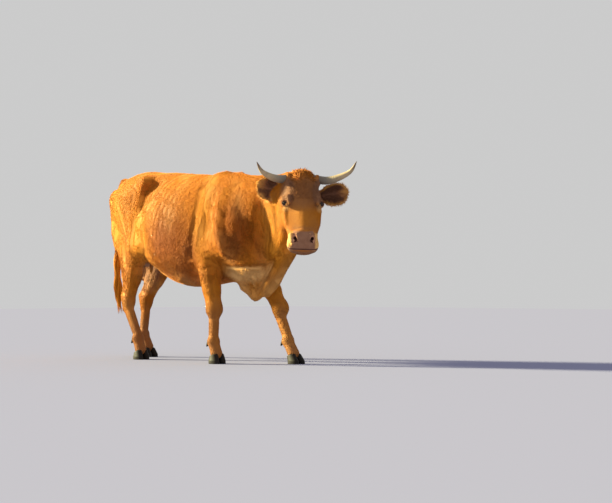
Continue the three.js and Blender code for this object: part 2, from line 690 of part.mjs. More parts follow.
for (const side of sides) {
  part("eye_" + sideName(side), ball(eyeCentre(side), eyeRadius), colours.eye, 0.1);
  part("horn_" + sideName(side), hornSolid(side, 0), colours.horn, 0.5);
  part("ear_" + sideName(side), ear(side, 0), coatColour);
}
part("tail", tail(0), coatColour);
const switchGap = gap / 1200; // as a share of the tail's length
part("tail_switch", tube(tailPath, switchRadius, 8, 8, 0, switchStart + switchGap, 1), colours.switchHair);
part("udder", largest(less(udder(0), [trunk, legRooms])), colours.udder);

for (const limb of limbs) {
  const hooves = sides.flatMap((side) => [claw(limb.leg, side, gap), dewclaw(limb.leg, side, gap)]);
  const between = limb.name.startsWith("hind") ? [udder(gap), tail(gap)] : [];
  part(limb.name, largest(less(body.intersect(legRoom(limb, -seam)), [...between, ...hooves])), coatColour);
  for (const side of sides) {
    const which = side * limb.leg.side > 0 ? "_outer" : "_inner";
    part(limb.name.replace("leg", "claw") + which, claw(limb.leg, side, 0), colours.claw, 0.6);
    part(limb.name.replace("leg", "dewclaw") + which, dewclaw(limb.leg, side, 0), colours.claw, 0.6);
  }
}

// ---------------------------------------------------------------- placed with the ground at zero
const cow = new THREE.Group();
cow.name = "cow";
meshes.forEach((mesh) => cow.add(mesh));
const bounds = new THREE.Box3().setFromObject(cow);
const middle = bounds.getCenter(new THREE.Vector3());
meshes.forEach((mesh) => mesh.geometry.translate(-middle.x, -middle.y, -bounds.min.z));
export default cow;
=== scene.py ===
# A life-size horned beef cow with a short wheat-red coat, in mid step, her head turned to her right.
# The flesh is worked out in millimetres from a skeleton of named joints, then placed in the frame in metres.
import math
import time
from concurrent.futures import ThreadPoolExecutor

import bmesh
import bpy
import numpy as np
import openvdb
from mathutils import Matrix, Vector


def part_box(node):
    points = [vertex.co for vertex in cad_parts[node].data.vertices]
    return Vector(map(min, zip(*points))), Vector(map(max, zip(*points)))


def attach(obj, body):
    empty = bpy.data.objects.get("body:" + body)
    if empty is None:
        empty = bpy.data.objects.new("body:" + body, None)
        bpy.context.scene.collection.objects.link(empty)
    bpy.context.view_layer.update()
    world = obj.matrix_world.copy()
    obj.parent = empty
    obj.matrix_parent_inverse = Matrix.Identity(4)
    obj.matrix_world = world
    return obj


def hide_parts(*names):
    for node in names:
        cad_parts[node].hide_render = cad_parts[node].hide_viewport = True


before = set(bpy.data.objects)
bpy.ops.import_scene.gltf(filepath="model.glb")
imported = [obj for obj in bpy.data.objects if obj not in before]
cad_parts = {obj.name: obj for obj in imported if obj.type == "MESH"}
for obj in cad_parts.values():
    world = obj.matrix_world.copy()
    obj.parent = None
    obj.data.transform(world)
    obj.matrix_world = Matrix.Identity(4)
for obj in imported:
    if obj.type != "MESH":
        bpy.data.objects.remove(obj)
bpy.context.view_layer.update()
started = time.time()


def report(stage):
    print(f"[{time.time() - started:6.1f} s] {stage}", flush=True)


# Head: own axes are x down the face from the poll to the nose, y to her left, z out of the forehead.
head = {"poll": (1194, 31, 1342), "pitch": 60.5, "roll": -1.6, "yaw": -40, "size": 1.06}
eyes = {"down": 222, "side": 116, "out": -54, "radius": 19, "lid": 4.2}


# pitch turns the nose down, then roll, then yaw
def turned(pitch, roll=0, yaw=0):
    turn = Matrix.Rotation(math.radians(yaw), 3, "Z") @ Matrix.Rotation(math.radians(roll), 3, "X")
    return np.array(turn @ Matrix.Rotation(math.radians(pitch), 3, "Y"))


headTurn = turned(head["pitch"], head["roll"], head["yaw"])


def onHead(point):
    return np.array(head["poll"]) + headTurn @ np.array(point) * head["size"]


def middle(node):
    low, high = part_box(node)
    return np.array(low + high) / 2


# What the flesh's own millimetres are off the frame, read from the two eyeballs.
eyesMiddle = (middle("eye_right") + middle("eye_left")) * 500
shift = onHead((eyes["down"], 0, eyes["out"])) - eyesMiddle


# flesh millimetres to frame metres
def placed(points):
    return (np.asarray(points, float) - shift) / 1000


# Camera: it circles a point on the cow's middle line
view = {"azimuth": 48, "distance": 10000, "ahead": 480, "height": 500,
        "turn": -3.143, "tilt": 1.717, "lens": 81.41}


def makeCamera():
    a = math.radians(view["azimuth"])
    away = view["distance"]
    place = np.array((view["ahead"] + away * math.sin(a), -away * math.cos(a), view["height"]))
    camera = bpy.data.objects.new("camera", bpy.data.cameras.new("camera"))
    camera.data.lens = view["lens"]
    camera.location = placed(place)
    camera.rotation_euler = (math.radians(90 + view["tilt"]), 0, math.radians(view["azimuth"] + view["turn"]))
    bpy.context.scene.collection.objects.link(camera)
    bpy.context.scene.camera = camera


makeCamera()


# Implicit shapes: each is a function of points (3 rows) that gives a distance in millimetres
farthest = {"flesh": 110, "added": 60}  # past this a shape no longer touches the surface


def column(values):
    return np.array(values, np.float32)[:, None]


# notes the box that a shape fills, so that far points are passed over
def reaching(distance, low, high):
    distance.low = np.min((low, high), 0)
    distance.high = np.max((low, high), 0)
    return distance


# an ellipsoid
def blob(centre, radii, turn=(0, 0, 0)):
    rows = turned(*turn).T.astype(np.float32)
    size = column(radii)

    def distance(p):
        q = rows @ (p - column(centre)) / size
        near = np.sqrt((q * q).sum(0))
        slope = np.sqrt(((q / size) ** 2).sum(0)) + 1e-6
        return near * (near - 1) / slope

    return reaching(distance, np.subtract(centre, max(radii)), np.add(centre, max(radii)))


# a cone with round ends; thin scales its width along y
def limb(start, end, startRadius, endRadius, thin=1):
    squash = column((1, 1 / thin, 1))
    a = column(start)
    d = (column(end) - a) * squash
    long = float((d * d).sum())

    def distance(p):
        q = (p - a) * squash
        t = np.clip((q * d).sum(0) / long, 0, 1)
        away = np.sqrt(((q - d * t) ** 2).sum(0))
        return (away - startRadius - (endRadius - startRadius) * t) * math.sqrt(thin)

    radius = max(startRadius, endRadius)
    return reaching(distance, np.minimum(start, end) - radius, np.maximum(start, end) + radius)


# smooth values of a table of stations: a Catmull-Rom curve through its columns
def stationsAt(table):
    rows = np.array(table, np.float32)
    last = len(rows) - 1

    def values(x):
        at = np.clip(x, rows[0, 0], rows[last, 0])
        i = np.clip(np.searchsorted(rows[:, 0], at, side="left") - 1, 0, last - 1)
        a, b, c, d = (rows[np.clip(i + k, 0, last)].T for k in (-1, 0, 1, 2))
        t = (at - b[0]) / (c[0] - b[0])
        return b + 0.5 * t * (c - a + t * (2 * a - 5 * b + 4 * c - d + t * (3 * (b - c) + d - a)))

    return values


# a barrel along x: stations are x, top, bottom, half width and the height of the widest line
def barrel(table, roundness):
    at = stationsAt(table)

    def distance(p):
        x, y, z = p
        _, top, bottom, half, widest = at(x)
        up = z - widest
        reach = np.where(up > 0, top - widest, widest - bottom)
        q = ((np.abs(y) / half) ** roundness + (np.abs(up) / reach) ** roundness) ** (1 / roundness)
        q = np.maximum(q, 1e-4)
        d = np.maximum(np.hypot(y, up) * (1 - 1 / q), -np.minimum(half, reach))
        over = np.maximum(np.maximum(table[0][0] - x, x - table[-1][0]), 0)
        return np.where(over > 0, np.hypot(np.maximum(d, 0), over), d)

    x, top, bottom, half, _ = np.array(table).T
    return reaching(distance, (x.min(), -half.max(), bottom.min()), (x.max(), half.max(), top.max()))


# a direction made square to an axis and one long
def squareTo(axis, a):
    a = a - axis * (a @ axis)
    return a / np.linalg.norm(a)


# columns of directions made one long
def unit(rows, least=1e-6):
    return rows / (np.sqrt((rows**2).sum(0)) + least)


def smooth(low, high, x):
    t = np.clip((x - low) / (high - low), 0, 1)
    return t * t * (3 - 2 * t)


def blend(a, b, k):
    h = np.maximum(k - np.abs(a - b), 0)
    return np.minimum(a, b) - h * h / (4 * k)


# numbers of the points in a shape's box, widened by a reach
def inBox(p, shape, reach=0):
    low, high = column(shape.low - reach), column(shape.high + reach)
    return np.flatnonzero((p > low).all(0) & (p < high).all(0))


# (shape, fillet) pieces joined in turn to a distance; a third entry marks a hollow
def joined(pieces, p, d, reach):
    for shape, k, *cut in pieces:
        at = inBox(p, shape, reach)
        if len(at):
            s = shape(p[:, at])
            d[at] = -blend(-d[at], s, k) if cut else blend(d[at], s, k)
    return d


def bodyOf(pieces):
    def distance(p):
        return joined(pieces, p, np.full(p.shape[1], 1e4, np.float32), farthest["flesh"])

    lows, highs = zip(*((shape.low, shape.high) for shape, *_ in pieces))
    return reaching(distance, np.min(lows, 0), np.max(highs, 0))


# the shape's distance at many points, worked out side by side
def distances(shape, p):
    with ThreadPoolExecutor(8) as pool:
        return np.concatenate(list(pool.map(shape, np.array_split(np.asarray(p, np.float32), 32, 1))))


# Skeleton and flesh, in millimetres
heights = {"withers": 1372, "croup": 1428, "belly": 540}
rightFore = {"side": -1, "shoulder": (700, -200, 905), "elbow": (450, -190, 775),
             "knee": (522, -188, 388), "fetlock": (516, -188, 155), "toe": (575, -188, 0)}
leftFore = {"side": 1, "shoulder": (745, 200, 915), "elbow": (572, 190, 748),
            "knee": (808, 188, 392), "fetlock": (885, 188, 160), "toe": (990, 188, 0)}
rightHind = {"side": -1, "hip": (-500, -165, 1180), "stifle": (-290, -215, 845),
             "hock": (-487, -165, 442), "fetlock": (-384, -157, 155), "toe": (-322, -157, 0)}
leftHind = {"side": 1, "hip": (-520, 165, 1175), "stifle": (-448, 210, 835),
            "hock": (-680, 160, 442), "fetlock": (-704, 154, 176), "toe": (-604, 154, 0)}


def plus(a, b):
    return tuple(i + j for i, j in zip(a, b))


def mix(a, b, t):
    return tuple(i + (j - i) * t for i, j in zip(a, b))


def trunkPieces():
    top, croup, belly = heights["withers"], heights["croup"], heights["belly"]
    # x, topline, belly line, half width, height of the widest line
    stations = [
        (-660, croup - 82, 1040, 95, 1230), (-520, croup - 26, 860, 150, 1130),
        (-380, croup - 10, 752, 205, 1050), (-220, croup - 36, 660, 262, 1000),
        (-60, croup - 40, 580, 314, 965), (90, croup - 44, belly + 2, 338, 945),
        (230, top + 6, belly, 334, 935), (380, top - 10, 558, 296, 940),
        (520, top - 16, 572, 236, 950), (660, top - 60, 566, 190, 930),
        (780, top - 150, 600, 130, 900),
    ]
    pieces = [
        (barrel(stations, 2.2), 1),
        (blob((-470, 0, 1258), (262, 222, 162), (-5, 0, 0)), 70),
        (blob((-190, 0, 1336), (250, 222, 64)), 70),  # loin
        (limb((-590, 0, 1345), (-715, 0, 1325), 58, 42), 60),  # root of the tail
        (limb((-668, 0, 1265), (-560, 0, 950), 62, 90, 0.9), 60),  # between the thighs
        (blob((650, 0, 800), (165, 178, 220), (-20, 0, 0)), 80),  # breast
    ]
    for side in (-1, 1):
        pieces += [
            (blob((-250, side * 190, 1322), (92, 54, 54), (0, 8 * side, 16 * side)), 80),  # hook bone
            (blob((-727, side * 98, 1238), (50, 48, 66)), 60),  # pin bone
            (blob((-120, side * 330, 1235), (95, 62, 92), (0, 0, -16 * side)), 80, "cut"),  # hungry hollow
        ]
    return pieces


def shoulderPieces(leg):
    side, shoulder, elbow, knee = leg["side"], leg["shoulder"], leg["elbow"], leg["knee"]
    bladeTop = (shoulder[0] - 240, side * 78, heights["withers"] - 92)
    blade = plus(shoulder, (-45, -side * 22, 40))
    breast = plus(shoulder, (70, -side * 130, -190))
    return [
        (limb(bladeTop, blade, 80, 112, 0.62), 70),
        (limb(plus(bladeTop, (-50, side * 40, -150)), plus(elbow, (-10, -side * 8, 90)), 112, 96, 0.58), 80),
        (blob(plus(shoulder, (-40, -side * 18, -4)), (84, 60, 96)), 80),
        (limb(plus(shoulder, (-20, -side * 60, -40)), breast, 96, 84, 0.9), 80),
        (limb(plus(shoulder, (-60, -side * 14, -30)), plus(elbow, (10, 0, 10)), 100, 82, 0.72), 60),
        (limb(plus(elbow, (-58, 0, 24)), mix(elbow, knee, 0.35), 44, 56), 50),
    ]


def forelegPieces(leg):
    elbow, knee, fetlock, toe = leg["elbow"], leg["knee"], leg["fetlock"], leg["toe"]
    return [
        (limb(elbow, mix(elbow, knee, 0.62), 86, 72, 0.92), 40),
        (limb(mix(elbow, knee, 0.42), knee, 75, 58), 30),
        (blob(plus(knee, (3, 0, -2)), (59, 60, 74), (8, 0, 0)), 26),
        (limb(plus(knee, (-32, 0, 22)), plus(knee, (-27, 0, -26)), 27, 25), 22),
        (limb(plus(knee, (3, 0, -48)), plus(fetlock, (7, 0, 22)), 39, 33), 20),
        (limb(plus(knee, (-28, 0, -56)), plus(fetlock, (-21, 0, 22)), 22, 24), 18),
        (blob(fetlock, (42, 47, 46)), 20),
        (limb(fetlock, mix(fetlock, toe, 0.55), 39, 43, 1.1), 18),
    ]


def thighPieces(leg):
    side, hip, stifle, hock = leg["side"], leg["hip"], leg["stifle"], leg["hock"]
    gaskin = plus(mix(stifle, hock, 0.5), (-36, -side * 4, 40))
    return [
        (blob(plus(hip, (30, -side * 22, -70)), (215, 105, 235), (-14, 0, 0)), 80),
        (limb(plus(hip, (60, side * 2, -20)), plus(stifle, (-34, -side * 12, 10)), 150, 112, 0.62), 80),
        (limb((-692, side * 92, 1196), mix((hip[0] - 128, side * 122, 900), stifle, 0.15), 84, 88, 0.95), 70),
        (limb((hip[0] - 96, side * 120, 960), gaskin, 98, 62, 0.85), 70),
        (blob(plus(stifle, (-4, -side * 8, 0)), (84, 62, 96), (-25, 0, 0)), 50),
        # fold of the flank
        (limb(plus(stifle, (30, -side * 20, 60)), (-150, side * 205, 770), 44, 36, 0.6), 80),
    ]


def hindlegPieces(leg):
    stifle, hock, fetlock, toe = leg["stifle"], leg["hock"], leg["fetlock"], leg["toe"]
    point = plus(hock, (-58, 0, 42))
    return [
        (limb(plus(stifle, (-30, 0, -20)), mix(stifle, hock, 0.55), 92, 68, 0.9), 50),
        (limb(mix(stifle, hock, 0.45), hock, 72, 49, 0.92), 36),
        (limb(plus(mix(stifle, hock, 0.35), (-86, 0, 0)), point, 48, 24, 0.9), 44),
        (limb(point, plus(hock, (-34, 0, -56)), 26, 30), 26),
        (blob(hock, (53, 49, 72), (-18, 0, 0)), 30),
        (limb(plus(hock, (0, 0, -45)), plus(fetlock, (6, 0, 22)), 37, 32), 20),
        (limb(plus(hock, (-33, 0, -60)), plus(fetlock, (-20, 0, 22)), 22, 23), 18),
        (blob(fetlock, (40, 46, 44)), 20),
        (limb(fetlock, mix(fetlock, toe, 0.55), 38, 42, 1.1), 18),
    ]


nape = (1082, 44, 1196)
# Hanging edge of the dewlap from the throat round the brisket to the breastbone, with its thickness.
dewlapEdge = [
    ((1100, 45, 962), 54), ((1034, 47, 805), 42), ((950, 44, 694), 40), ((905, 38, 594), 42),
    ((850, 22, 536), 48), ((748, 4, 494), 46), ((640, 0, 548), 50),
]


def neckPieces():
    pieces = [
        (limb((610, 0, 1060), (850, 16, 1118), 248, 192, 0.84), 90),
        (limb((820, 14, 1112), nape, 196, 132, 0.72), 70),
        (limb((500, 0, 1276), (1040, 42, 1226), 74, 60, 0.9), 80),
        (limb((620, 0, 920), (1010, 38, 1040), 200, 112, 0.84), 80),
        (limb((730, 0, 810), (950, 30, 812), 178, 128, 0.72), 90),
    ]
    root = (820, 20, 900)
    for (last, lastRadius), (point, radius) in zip(dewlapEdge, dewlapEdge[1:]):
        pieces += [
            (limb(last, point, lastRadius, radius, 0.78), 40),
            (limb(mix(last, root, 0.3), mix(point, root, 0.3), lastRadius + 36, radius + 36, 0.66), 60),
        ]
    return pieces


# distance down the face, profile, jaw line, half width, height of the widest line
headStations = [
    (-44, -38, -160, 70, -100), (0, 10, -200, 96, -78), (60, 16, -232, 106, -75),
    (130, 8, -245, 111, -78), (225, -6, -240, 119, -92), (300, -22, -220, 119, -118),
    (360, -32, -198, 113, -118), (410, -38, -184, 100, -114), (450, -40, -180, 98, -114),
    (480, -50, -184, 104, -118), (506, -72, -182, 103, -124), (528, -100, -174, 88, -134),
    (546, -126, -160, 50, -142),
]


def headPieces():
    pieces = [
        (barrel(headStations, 2.15), 1),
        (blob((488, 0, -84), (46, 66, 30), (40, 0, 0)), 20),  # nose pad
        (blob((492, 0, -160), (46, 56, 26)), 20),  # chin
    ]
    for side in (-1, 1):
        pieces += [
            (blob((220, side * 112, -64), (54, 26, 38), (0, 0, -8 * side)), 24),  # orbit
            (blob((215, side * 78, -170), (90, 38, 66), (14, 0, 0)), 40),  # cheek
            (blob((40, side * 90, -52), (40, 34, 38)), 30),  # boss of the horn
            (blob((494, side * 48, -80), (36, 28, 25), (35, 0, 12 * side)), 18),  # wing of the nostril
            (blob((122, side * 96, -116), (38, 32, 38)), 26),  # root of the ear
        ]
    return pieces


# points in the head's own axes and size
def headFrame(p):
    return headTurn.T.astype(np.float32) @ (p - column(head["poll"])) / np.float32(head["size"])


def onHeadShape(shape):
    def distance(p):
        return np.float32(head["size"]) * shape(headFrame(p))

    corners = [onHead((x, y, z)) for x in (-60, 560) for y in (-130, 130) for z in (-260, 40)]
    return reaching(distance, np.min(corners, 0), np.max(corners, 0))


headFlesh = onHeadShape(bodyOf(headPieces()))
foreLegs = (rightFore, leftFore)
hindLegs = (rightHind, leftHind)
flesh = bodyOf(
    trunkPieces()
    + [piece for leg in foreLegs for piece in shoulderPieces(leg)]
    + [piece for leg in hindLegs for piece in thighPieces(leg)]
    + neckPieces()
    + [(headFlesh, 50), (limb(nape, onHead((95, 0, -150)), 138, 100, 0.85), 50)]
    + [piece for leg in foreLegs for piece in forelegPieces(leg)]
    + [piece for leg in hindLegs for piece in hindlegPieces(leg)]
)


# Tail, ears and udder, which the skin covers too
tailPath = [
    (-670, 0, 1330), (-742, 0, 1352), (-792, -4, 1300), (-808, -16, 1190), (-802, -34, 1000),
    (-790, -50, 800), (-781, -52, 660), (-776, -50, 520), (-770, -42, 400), (-766, -36, 338),
]
ears = {
    1: {"root": (102, 114, -142), "lift": 10, "length": 208, "width": 146},
    -1: {"root": (90, -114, -146), "lift": 18, "length": 200, "width": 150},
}
earFold = {"sunk": 26, "rolled": 1.35, "flat": 0.6, "thick": 8, "thin": 5}
faceOut = turned(0, 0, head["yaw"]) @ (1, 0, 0)
faceLeft = turned(0, head["roll"], head["yaw"]) @ (0, 1, 0)
# share of the length, half width as a share of the greatest
earOutline = stationsAt(
    [(0, 0.29), (0.15, 0.49), (0.35, 0.83), (0.55, 0.98), (0.7, 1), (0.84, 0.84), (0.94, 0.5), (1, 0.12)]
)


def tailPieces():
    pieces = []
    for i, (a, b) in enumerate(zip(tailPath, tailPath[1:7])):
        thick = [36, 36, 31, 26, 20, 15, 12]
        pieces.append((limb(a, b, thick[i], thick[i + 1]), 40 if i < 2 else 16))
    return pieces


def earAxes(side):
    lift = math.radians(ears[side]["lift"])
    along = faceLeft * side * math.cos(lift) + np.array((0, 0, math.sin(lift))) + 0.15 * faceOut
    along = along / np.linalg.norm(along)
    opening = squareTo(along, 0.94 * faceOut + np.array((0, 0, -0.24)))
    return np.array((along, np.cross(along, opening), opening))


# half angle of the rolled section, its radius and the height of its centre, at a share u of the length
def earSection(side, u):
    bend = earFold["rolled"] + (earFold["flat"] - earFold["rolled"]) * u
    radius = earOutline(u)[1] * ears[side]["width"] / 2 / np.sin(bend)
    return bend, radius, radius * (0.65 + 0.35 * u) + 12 * np.sin(np.pi * u) - 8


def earRoot(side):
    return onHead(ears[side]["root"])


# a cupped leaf on a stalk
def ear(side):
    axes = earAxes(side).astype(np.float32)
    long = ears[side]["length"] + earFold["sunk"]

    def distance(p):
        q = axes @ (p - column(earRoot(side)))
        place = (q[0] + earFold["sunk"]) / long
        u = np.clip(place, 0, 1)
        bend, radius, height = earSection(side, u)
        w = q[2] - height
        rolled = np.abs(np.arctan2(q[1], -w))
        edge = np.hypot(np.abs(q[1]) - radius * np.sin(bend), w + radius * np.cos(bend))
        away = np.where(rolled < bend, np.abs(np.hypot(q[1], w) - radius), edge)
        thick = earFold["thick"] + (earFold["thin"] - earFold["thick"]) * u
        return np.hypot(away, (place - u) * long) - thick / 2

    corners = [(x, y, z) for x in (-30, 230) for y in (-90, 90) for z in (-40, 90)]
    ends = [earRoot(side) + axes.T @ np.array(corner) for corner in corners]
    return reaching(distance, np.min(ends, 0), np.max(ends, 0))


def udderPieces():
    pieces = [(blob((-430, 0, 788), (146, 104, 88), (-6, 0, 0)), 24)]
    for side in (-1, 1):
        for end in (-1, 1):
            top = (-425 + end * 62, side * 42, 722)
            pieces.append((limb(top, (top[0] + end * 4 + 2, side * 48, 664), 14, 9), 14))
    return pieces


# A ridge of the skin along points, or a furrow where its height is below zero.
def ridge(points, width, height):
    steps = [limb(a, b, 0, 0) for a, b in zip(points, points[1:])]

    def rise(p):
        return height * np.exp(-((np.min([step(p) for step in steps], 0) / width) ** 2))

    return reaching(rise, np.min(points, 0) - 2.4 * width, np.max(points, 0) + 2.4 * width)


# Muscle, bone and folds that show through the skin of the trunk: points on the left side, width and height
trunkLines = {
    "lastRib": ([(127, 61, 1372), (103, 155, 1340), (52, 227, 1280), (-49, 243, 1224), (-128, 254, 1160),
                 (-205, 258, 1088), (-262, 260, 1010)], 28, 10),
    "hollow": ([(-120, 226, 1316), (-178, 226, 1276), (-212, 224, 1212), (-236, 236, 1150)], 58, -26),
    "hookLine": ([(-214, 238, 1346), (-262, 222, 1262), (-282, 236, 1168), (-300, 252, 1084)], 26, 9),
    "flankFold": ([(-292, 251, 1076), (-303, 264, 971), (-290, 284, 865), (-276, 282, 785)], 15, -11),
    "flank": ([(-248, 262, 1060), (-238, 282, 950), (-216, 290, 850)], 42, 9),
    "navel": ([(70, 176, 600), (112, 160, 586), (140, 130, 572)], 13, 8),
    "thigh": ([(-444, 266, 1127), (-407, 268, 1012), (-362, 274, 898)], 26, -5),
    "rump": ([(-640, 140, 1330), (-560, 200, 1250), (-470, 246, 1180)], 50, -6),
}


def trunkForms(side):
    return [ridge([(x, side * y, z) for x, y, z in points], width, height)
            for points, width, height in trunkLines.values()]


def shoulderForms(leg):
    side, shoulder, elbow, knee = leg["side"], leg["shoulder"], leg["elbow"], leg["knee"]
    bladeTop = (shoulder[0] - 240, heights["withers"] - 92)

    # a point so far forward of the line from the elbow to the top of the shoulder blade
    def at(ahead, y, z):
        t = (z - elbow[2]) / (bladeTop[1] - elbow[2])
        return (elbow[0] + (bladeTop[0] - elbow[0]) * t + ahead, side * y, z)

    rear = [(60, 60, 1372), (-4, 132, 1325), (14, 200, 1219), (12, 234, 1125), (-5, 256, 1033),
            (-18, 268, 933), (-32, 272, 841), (-46, 266, 763), (-34, 254, 706), (12, 254, 649)]
    hollowBehind = [at(ahead - 42, y, z) for ahead, y, z in rear[1:8]]
    firstFold = [at(-62, 258, 1090), at(-74, 275, 1005), at(-84, 283, 920), at(-92, 280, 834)]
    secondFold = [(x - 34, y, z + 20) for x, y, z in firstFold]
    arm = [at(148, 172, 1228), at(145, 215, 1134), at(149, 238, 1028), at(198, 267, 906), at(220, 258, 828),
           at(216, 238, 782)]
    beyondArm = [(x + 74, y * 0.93, z + 10) for x, y, z in arm[2:]]
    bladeFront = [at(268, 122, 1239), at(274, 162, 1166), at(258, 196, 1081), at(262, 208, 1000)]
    shoulderEdge = [(625, 169), (712, 162), (793, 142), (854, 93), (904, 56)]
    brisketFold = [(x, side * y, 688 + 0.00015 * (x - 740) ** 2) for x, y in shoulderEdge]
    overFold = [(x, y, z + 26) for x, y, z in brisketFold]
    onArm = [(mix(elbow, knee, t), y) for t, y in ((0.15, 226), (0.5, 244), (0.85, 236))]
    firstGroove = [(x, side * y, z) for (x, _, z), y in onArm]
    secondGroove = [(x + 46, y * 0.97, z) for x, y, z in firstGroove]
    return [
        ridge([at(*point) for point in rear], 32, 10), ridge(hollowBehind, 30, -10),
        ridge(firstFold, 9, 6), ridge(secondFold, 8, 5), ridge(arm, 26, 17), ridge(beyondArm, 46, -20),
        ridge(bladeFront, 22, 9), ridge(brisketFold, 11, -8), ridge(overFold, 20, 6),
        ridge(firstGroove, 10, -5), ridge(secondGroove, 9, -5),
    ]


def hindForms(leg):
    side, stifle, hock = leg["side"], leg["stifle"], leg["hock"]
    forms = []
    for face in (-1, 1):
        tendon = [plus(mix(stifle, hock, t), (-22 - 10 * t, face * (58 - 22 * t), 0))
                  for t in (0.45, 0.65, 0.85)]
        forms.append(ridge(tendon, 13, -8))
    forms.append(ridge([plus(stifle, (-20, side * 42, 60)), plus(stifle, (-64, side * 30, -90))], 30, 6))
    return forms


# the same for the neck, with y counted out from the middle line of the turned neck
neckLines = {
    "valley": ([(925, 132, 1160), (932, 114, 1060), (922, 94, 973), (906, 76, 880), (886, 70, 790)], 46, -36),
    "slope": ([(1020, 92, 1090), (1016, 74, 990), (1008, 64, 900), (984, 54, 800)], 34, 9),
    "swell": ([(1112, 80, 1110), (1106, 68, 1005), (1084, 42, 900), (1036, 26, 806), (988, 22, 738)], 40, 30),
    "crease": ([(1030, 34, 775), (955, 26, 716), (885, 30, 626), (836, 36, 545), (790, 38, 490)], 20, -34),
    "edge": ([(1044, 10, 782), (1000, 4, 716), (944, 12, 626), (880, 18, 545), (826, 22, 490)], 22, 34),
}


def neckForms(side):
    def at(x, out, z):
        middleLine = 0.116 * (x - 700)
        return (x, middleLine + side * (out + middleLine), z)

    return [ridge([at(*point) for point in points], width, height)
            for points, width, height in neckLines.values()]


forms = [form for side in (-1, 1) for form in trunkForms(side) + neckForms(side)]
forms += [form for leg in foreLegs for form in shoulderForms(leg)]
forms += [form for leg in hindLegs for form in hindForms(leg)]


ribs = {"height": 1.1, "spacing": 9.4}
looseSkin = {"fine": 0.12, "broad": 0.35}


# how far the skin rises over the flesh at points: forms, ribs, and creases of the loose skin
def rises(p):
    rise = np.zeros(p.shape[1], np.float32)
    for form in forms:
        at = inBox(p, form)
        if len(at):
            rise[at] += form(p[:, at])
    x, _, z = p
    back = x + 0.42 * (1335 - z) - 0.0002 * (1335 - z) ** 2
    onRibs = smooth(-150, 20, x) * smooth(430, 330, x) * smooth(640, 820, z) * smooth(1375, 1300, z)
    rise += ribs["height"] * onRibs * np.sin(back / ribs["spacing"])
    loose = smooth(-260, 0, x) * smooth(1040, 880, x) * smooth(560, 700, z) * smooth(1340, 1200, z)
    fine = looseSkin["fine"] * np.sin(x / 7.3 + 1.9 * np.sin(z / 61))
    broad = looseSkin["broad"] * np.sin(x / 21 - z / 97 + 1.2 * np.sin(z / 68))
    rise += loose * (fine + broad)
    return rise


# fullness of the bent side of the neck, and of the back of the gaskins
fullness = [(limb((1062, 4, 1130), (984, 8, 800), 86, 68), 34)]
for leg in hindLegs:
    above, below = plus(leg["stifle"], (-196, leg["side"] * -30, 60)), plus(leg["hock"], (-54, 0, 190))
    fullness.append((limb(above, below, 46, 30), 60))


# what the skin adds to the flesh of the face, in the head's own axes
nostril = {"top": (450, 73, -40), "low": (496, 45, -62), "hook": (502, 58, -76), "inside": (462, 50, -100)}
mouth = {"line": -106, "slope": 0.34, "corner": 436, "depth": 14, "half": 4.6, "fillet": 2}


# a cut between the lips from corner to corner, closing inwards
def mouthLine(p):
    deep = -headOnly(p)
    off = np.abs(p[2] - mouth["line"] + 0.0011 * p[1] ** 2 + mouth["slope"] * (540 - p[0]))
    gap = mouth["half"] * (1 - 0.75 * np.clip(deep / mouth["depth"], 0, 1))
    return np.maximum(np.maximum(off - gap, deep - mouth["depth"]), mouth["corner"] - p[0])


faceProfile = stationsAt(headStations)
nose = {"tilt": 36, "ridge": 8, "sunk": 2, "fade": 44, "fillet": 22, "from": (120, 270), "to": (470, 405)}


# the two flat sides of the nose, which meet along its ridge
def noseSides(p):
    x, y, z = p
    tilt = math.radians(nose["tilt"])
    up = z - faceProfile(x)[1] + nose["sunk"]
    side = (np.abs(y) - nose["ridge"]) * math.sin(tilt) + up * math.cos(tilt)
    return side - nose["fade"] * (1 - smooth(*nose["from"], x) * smooth(*nose["to"], x))


def facePieces():
    pieces = []
    for side in (-1, 1):
        def at(point):
            return (point[0], side * point[1], point[2])

        eye = (eyes["down"], side * eyes["side"], eyes["out"])
        ball = eyes["radius"] / head["size"]
        pieces += [
            (limb(at((188, 98, -26)), at((236, 92, -30)), 12, 9), 26),  # brow
            (limb(at((252, 114, -96)), at((340, 104, -112)), 5, 5), 26),  # ridge of the cheek
            (blob(eye, (ball + eyes["lid"],) * 3), 8),  # lids over the eyeball
            (limb(at((238, 112, -36)), at((252, 96, -40)), 5, 3), 8),  # inner corner of the lids
            (limb(at((206, 122, -56)), at((232, 114, -30)), 3, 3), 6),  # upper lid
            # opening between the lids
            (blob(plus(eye, at((7, 9, 17))), (18.5, 16.5, 17), (0, 28 * side, -16 * side)), 2, "cut"),
            (limb(at((452, 80, -62)), at((492, 76, -80)), 11, 10), 12),  # outer wing of the nostril
            (limb(at((462, 44, -40)), at((500, 28, -62)), 9, 9), 10),  # inner rim
            (limb(at((506, 40, -78)), at((512, 70, -88)), 8, 8), 10),  # lower rim
            (limb(at(nostril["top"]), at(nostril["low"]), 6, 11), 3, "cut"),
            (limb(at(nostril["low"]), at(nostril["hook"]), 10, 6), 3, "cut"),
            (limb(at((482, 56, -56)), at(nostril["inside"]), 11, 8), 3, "cut"),
        ]
    return pieces


headOnly = bodyOf(headPieces())
coatDepth = {"body": 8, "face": 3, "feet": 4, "poll": 22}


# how deep the skin lies under the tips of the coat
def coatAt(p):
    fromFace = smooth(40, 170, headFlesh(p))
    fromFeet = smooth(260, 620, p[2])
    body, face, feet, poll = (coatDepth[part] for part in ("body", "face", "feet", "poll"))
    low = np.minimum(fromFeet * (body - feet) + feet, body)
    x, y, z = headFrame(p)
    onPoll = (1 - fromFace) * smooth(96, 24, x) * smooth(104, 66, np.abs(y)) * smooth(-150, -80, z)
    return face + (low - face) * fromFace + (poll - face) * onPoll


